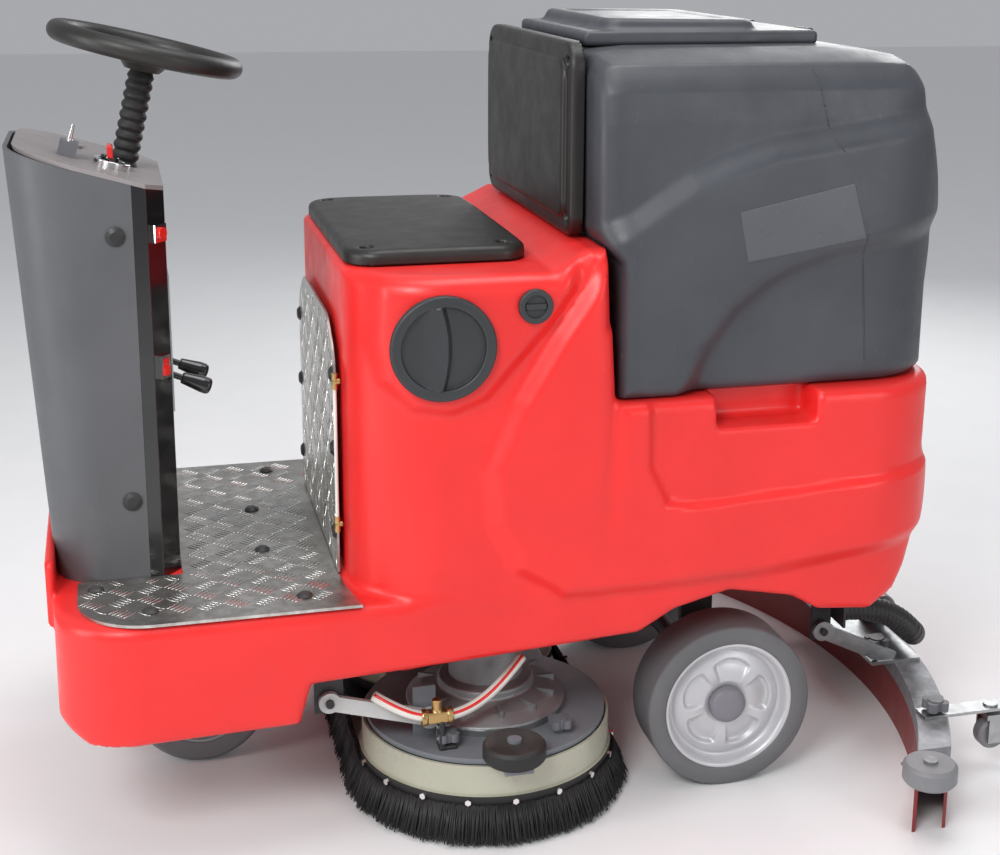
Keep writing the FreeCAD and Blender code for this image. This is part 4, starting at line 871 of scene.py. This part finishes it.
hose = {"radius": 0.019, "pitch": 0.0075}
suction, suctionLine, suctionLength = corrugatedHose(
    "suctionHose", [(0.178, 0.4903, 0.214), (0.178, 0.565, 0.214), (0.190, 0.640, 0.139),
                    (0.0363, 0.640, 0.139)],
    hose["radius"], hose["pitch"], "hose", None)
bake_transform(suction)
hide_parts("suction_hose")
drain = corrugatedHose(
    "drainHose", [(0, 0.632, 0.6903), (0, 0.632, 0.760), (0, 0.632, 0.840), (0, 0.632, 0.9063)],
    hose["radius"], hose["pitch"], "hose",
    "tank")[0]
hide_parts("drain_hose")

# Small visual pieces


def smoothTube(name, points, radius, finish, body, sides=12):
    line = routeLine(name + "Route", points, 14)
    verts, faces, side = [], [], None
    for i, place in enumerate(line):
        ahead = (line[min(len(line) - 1, i + 1)] - line[max(0, i - 1)]).normalized()
        if side is None:
            side = ahead.orthogonal().normalized()
        side = (side - ahead * side.dot(ahead)).normalized()
        other = ahead.cross(side)
        for j in range(sides):
            a = 2 * math.pi * j / sides
            verts.append(place + side * radius * math.cos(a) + other * radius * math.sin(a))
    for i in range(len(line) - 1):
        for j in range(sides):
            n = (j + 1) % sides
            faces.append((i * sides + j, i * sides + n, (i + 1) * sides + n, (i + 1) * sides + j))
    faces.append(tuple(range(sides))[::-1])
    faces.append(tuple((len(line) - 1) * sides + j for j in range(sides)))
    return makeMesh(name, verts, faces, finish, body)


feedPoints = [(0.262, -0.250, 0.196), (0.286, -0.215, 0.178), (0.290, -0.168, 0.166),
              (0.286, -0.120, 0.170),
              (0.270, -0.070, 0.196), (0.250, -0.035, 0.226)]
smoothTube("feedHose", feedPoints, 0.0075, "clear", "deck", 16)
tracerPoints = [(x + 0.0055, y, z + 0.0042) for x, y, z in feedPoints]
smoothTube("feedTracer", tracerPoints, 0.0022, "redKey", "deck", 8)
wires = {"one": 0.0, "two": 0.009}
for key, shift in wires.items():
    smoothTube("motorWire" + key, [(0.170, -0.270, 0.232 + shift), (0.215, -0.222, 0.205 + shift),
                                   (0.232, -0.160, 0.222),
                                   (0.215, -0.105, 0.216 + shift), (0.175, -0.070, 0.232)], 0.0026,
               "redKey", "deck",
               8)


def valveField(x, y, z):
    bar = roundBox(x, y, z, (288, -166, 168), (9, 15, 9), 4)
    stem = softMax(np.hypot(x - 288, y + 166) - 7, np.abs(z - 180) - 14, 2)
    nut = softMax(np.hypot(x - 288, z - 168) - 12, np.abs(np.abs(y + 166) - 18) - 4, 1.5)
    return softMin(softMin(bar, stem, 3), nut, 2)


def bracketField(x, y, z):
    plate = roundBox(x, y, z, (286, -160, 139), (13, 4, 24), 3)
    foot = roundBox(x, y, z, (286, -151, 122), (13, 12, 2.5), 2)
    return softMin(plate, foot, 4)


fieldPiece("feedValve", valveField, (268, -194, 150), (306, -138, 200), 1.8, "brass", "deck")
fieldPiece("valveBracket", bracketField, (268, -170, 110), (304, -132, 168), 2.0, "frameBlack", "deck")
bracketBolts = [((286, -164.5, z), (0, -1, 0), (1, 0, 0), (4, 4, 3)) for z in (132, 150)]
spreadPieces("bracketBolts", "bolt", bracketBolts, "chrome", "deck")


def rearFittings(x, y, z):
    clip = roundBox(x, y, z, (0, 612, 863), (26, 46, 7), 4)
    spigot = softMax(np.hypot(x, z - 664) - 21, np.abs(y - 598) - 38, 3)
    elbow = softMax(np.hypot(x, y - 632) - 21, np.abs(z - 667) - 23, 3)
    return softMin(clip, softMin(spigot, elbow, 8), 2)


hinge = {"radius": 5.5, "halfLength": 26.8, "lid": (414, 1091.3), "lidApart": 110, "tilt": (-336, 612),
         "tiltMiddle": 328,
         "tiltApart": 120}


def lidHinges(x, y, z):
    pinY, pinZ = hinge["lid"]
    knuckle = np.hypot(y - pinY, z - pinZ) - hinge["radius"]
    leaf = np.maximum(np.abs(y - pinY) - 5, np.abs(z - 1088) - 4)
    along = np.abs(np.abs(x) - hinge["lidApart"]) - hinge["halfLength"]
    return softMax(softMin(knuckle, leaf, 1), along, 1)


def tiltHinges(x, y, z):
    pinX, pinZ = hinge["tilt"]
    knuckle = np.hypot(x - pinX, z - pinZ) - hinge["radius"]
    leaf = np.maximum(np.abs(x + 331) - 4.5, np.abs(z - 602) - 9)
    along = np.abs(np.abs(y - hinge["tiltMiddle"]) - hinge["tiltApart"]) - hinge["halfLength"]
    return softMax(softMin(knuckle, leaf, 1), along, 1)


fieldPiece("rearFittings", rearFittings, (-34, 550, 634), (34, 664, 878), 2.5, "tankGrey", "tank")
fieldPiece("lidHinges", lidHinges, (-146, 404, 1080), (146, 424, 1100), 1.8, "frameBlack", "tank")
fieldPiece("tiltHinges", tiltHinges, (-346, 170, 588), (-322, 486, 622), 1.8, "frameBlack", "chassis")


def decalField(x, y, z):
    corners = [(240, 868), (409, 903), (432, 822), (255, 795)]
    skin = np.abs(tankField(x, y, z) - 0.2) - 0.9
    return softMax(np.maximum(skin, -x), polygon(corners, y, z) + 2, 1.2)


def seamField(x, y, z):
    line = [(355, 1050), (376, 963), (412, 910), (431, 831), (446, 644), (447, 644), (432, 831), (413, 910),
            (377, 963),
            (356, 1050)]
    skin = np.abs(tankField(x, y, z)) - 0.8
    return softMax(np.maximum(skin, -x), polygon(line, y, z) - 0.6, 0.6)


fieldPiece("blankDecal", decalField, (318, 232, 790), (334, 440, 910), 1.3, "decal", "tank")
fieldPiece("mouldSeam", seamField, (270, 346, 640), (334, 452, 1060), 1.5, "tankGrey", "tank")


def keyField(x, y, z):
    top = 961 - 0.293 * (y + 726)
    blade = roundBox(x, y, z - top, (60, -563, 21), (15, 4, 9), 3)
    collar = softMax(np.hypot(x - 60, y + 563) - 12, np.abs(z - top - 8) - 7, 2)
    return blade, collar


fieldPiece("keyBlade", lambda x, y, z: keyField(x, y, z)[0], (40, -572, 918), (80, -554, 952), 1.2,
           "redKey", "isolator",
           "isolator_key")
fieldPiece("keyCollar", lambda x, y, z: keyField(x, y, z)[1], (44, -580, 905), (76, -546, 935), 1.2,
           "glossBlack",
           "isolator")

# Carried CAD nodes

plain = {
    "chassis_frame": "frameBlack", "battery_pack": "battery", "vacuum_motor": "frameBlack",
    "footplate": "tread",
    "seat_front_plate": "tread", "panel_screws": "frameBlack", "level_tube": "brass",
    "column_shell": "columnGrey",
    "column_panel": "glossBlack", "dash_plate": "dash", "steering_boot": "rubber",
    "steering_shaft": "steel",
    "lower_shaft": "steel", "switch_bezels": "chrome", "switch_bracket": "knob", "toggle_lever": "chrome",
    "isolator_key": "redKey", "horn_button": "redKey", "rocker_switch": "redKey", "lever_plate": "steel",
    "front_fork": "frameBlack", "front_hub": "cast", "front_tyre": "tyre", "steering_chain": "steel",
    "deck_plate": "deckPaint", "deck_skirt": "cream", "deck_arms": "arm", "gear_motors": "cast",
    "deck_knobs": "knob",
    "deck_roller_left": "rubber", "deck_roller_right": "rubber", "brush_left": "bristle",
    "brush_right": "bristle",
    "squeegee_body": "squeegee", "squeegee_blades": "gum", "wall_roller_left": "roller",
    "wall_roller_right": "roller",
    "squeegee_arm": "steel", "squeegee_knobs": "knob", "caster_fork_left": "steel",
    "caster_fork_right": "steel",
    "caster_wheel_left": "roller", "caster_wheel_right": "roller", "lever_left": "glossBlack",
    "lever_right": "glossBlack",
    "steering_wheel": "padBlack",
}
bevels = {"column_shell": 3, "column_panel": 2.5, "dash_plate": 1.5, "chassis_frame": 1.5,
          "deck_plate": 1.2, "deck_skirt": 1,
          "squeegee_body": 1.5, "squeegee_arm": 1.2, "gear_motors": 1.5, "deck_arms": 1.5,
          "lever_plate": 0.8,
          "front_fork": 1.5, "footplate": 0.8, "seat_front_plate": 0.7, "isolator_key": 1.5,
          "rocker_switch": 0.8,
          "switch_bezels": 0.8, "deck_knobs": 2, "squeegee_knobs": 2, "caster_fork_left": 0.8,
          "caster_fork_right": 0.8,
          "switch_bracket": 0.6, "battery_pack": 3}
for name, finish in plain.items():
    dress(nodes[name], finish)
    if name in bevels:
        bevel = nodes[name].modifiers.new("softEdges", "BEVEL")
        bevel.width = bevels[name] * 0.001
        bevel.segments = 2
        bevel.limit_method = "ANGLE"
        bevel.angle_limit = math.radians(32)
        bevel.use_clamp_overlap = True


def secondSlot(node, finish, chosen):
    nodes[node].data.materials.append(finishes[finish])
    for face in nodes[node].data.polygons:
        if chosen(face.center):
            face.material_index = 1


secondSlot("deck_skirt", "rubber", lambda c: c.z < 0.0665)
secondSlot("level_tube", "clear", lambda c: 0.4605 < c.z < 0.6285)
secondSlot("footplate", "steel", lambda c: c.z < 0.3530)
print("carried nodes", len(plain))

# Floor


def addFloor():
    bpy.ops.mesh.primitive_plane_add(size=30, location=(0, 0, 0))
    floor = bpy.context.object
    floor.name = "studioFloor"
    floor.data.materials.append(surface("paleFloor", (0.86, 0.86, 0.86), 0.6, grain=40, grainDepth=0.01,
                                        tone=0.01))


addFloor()
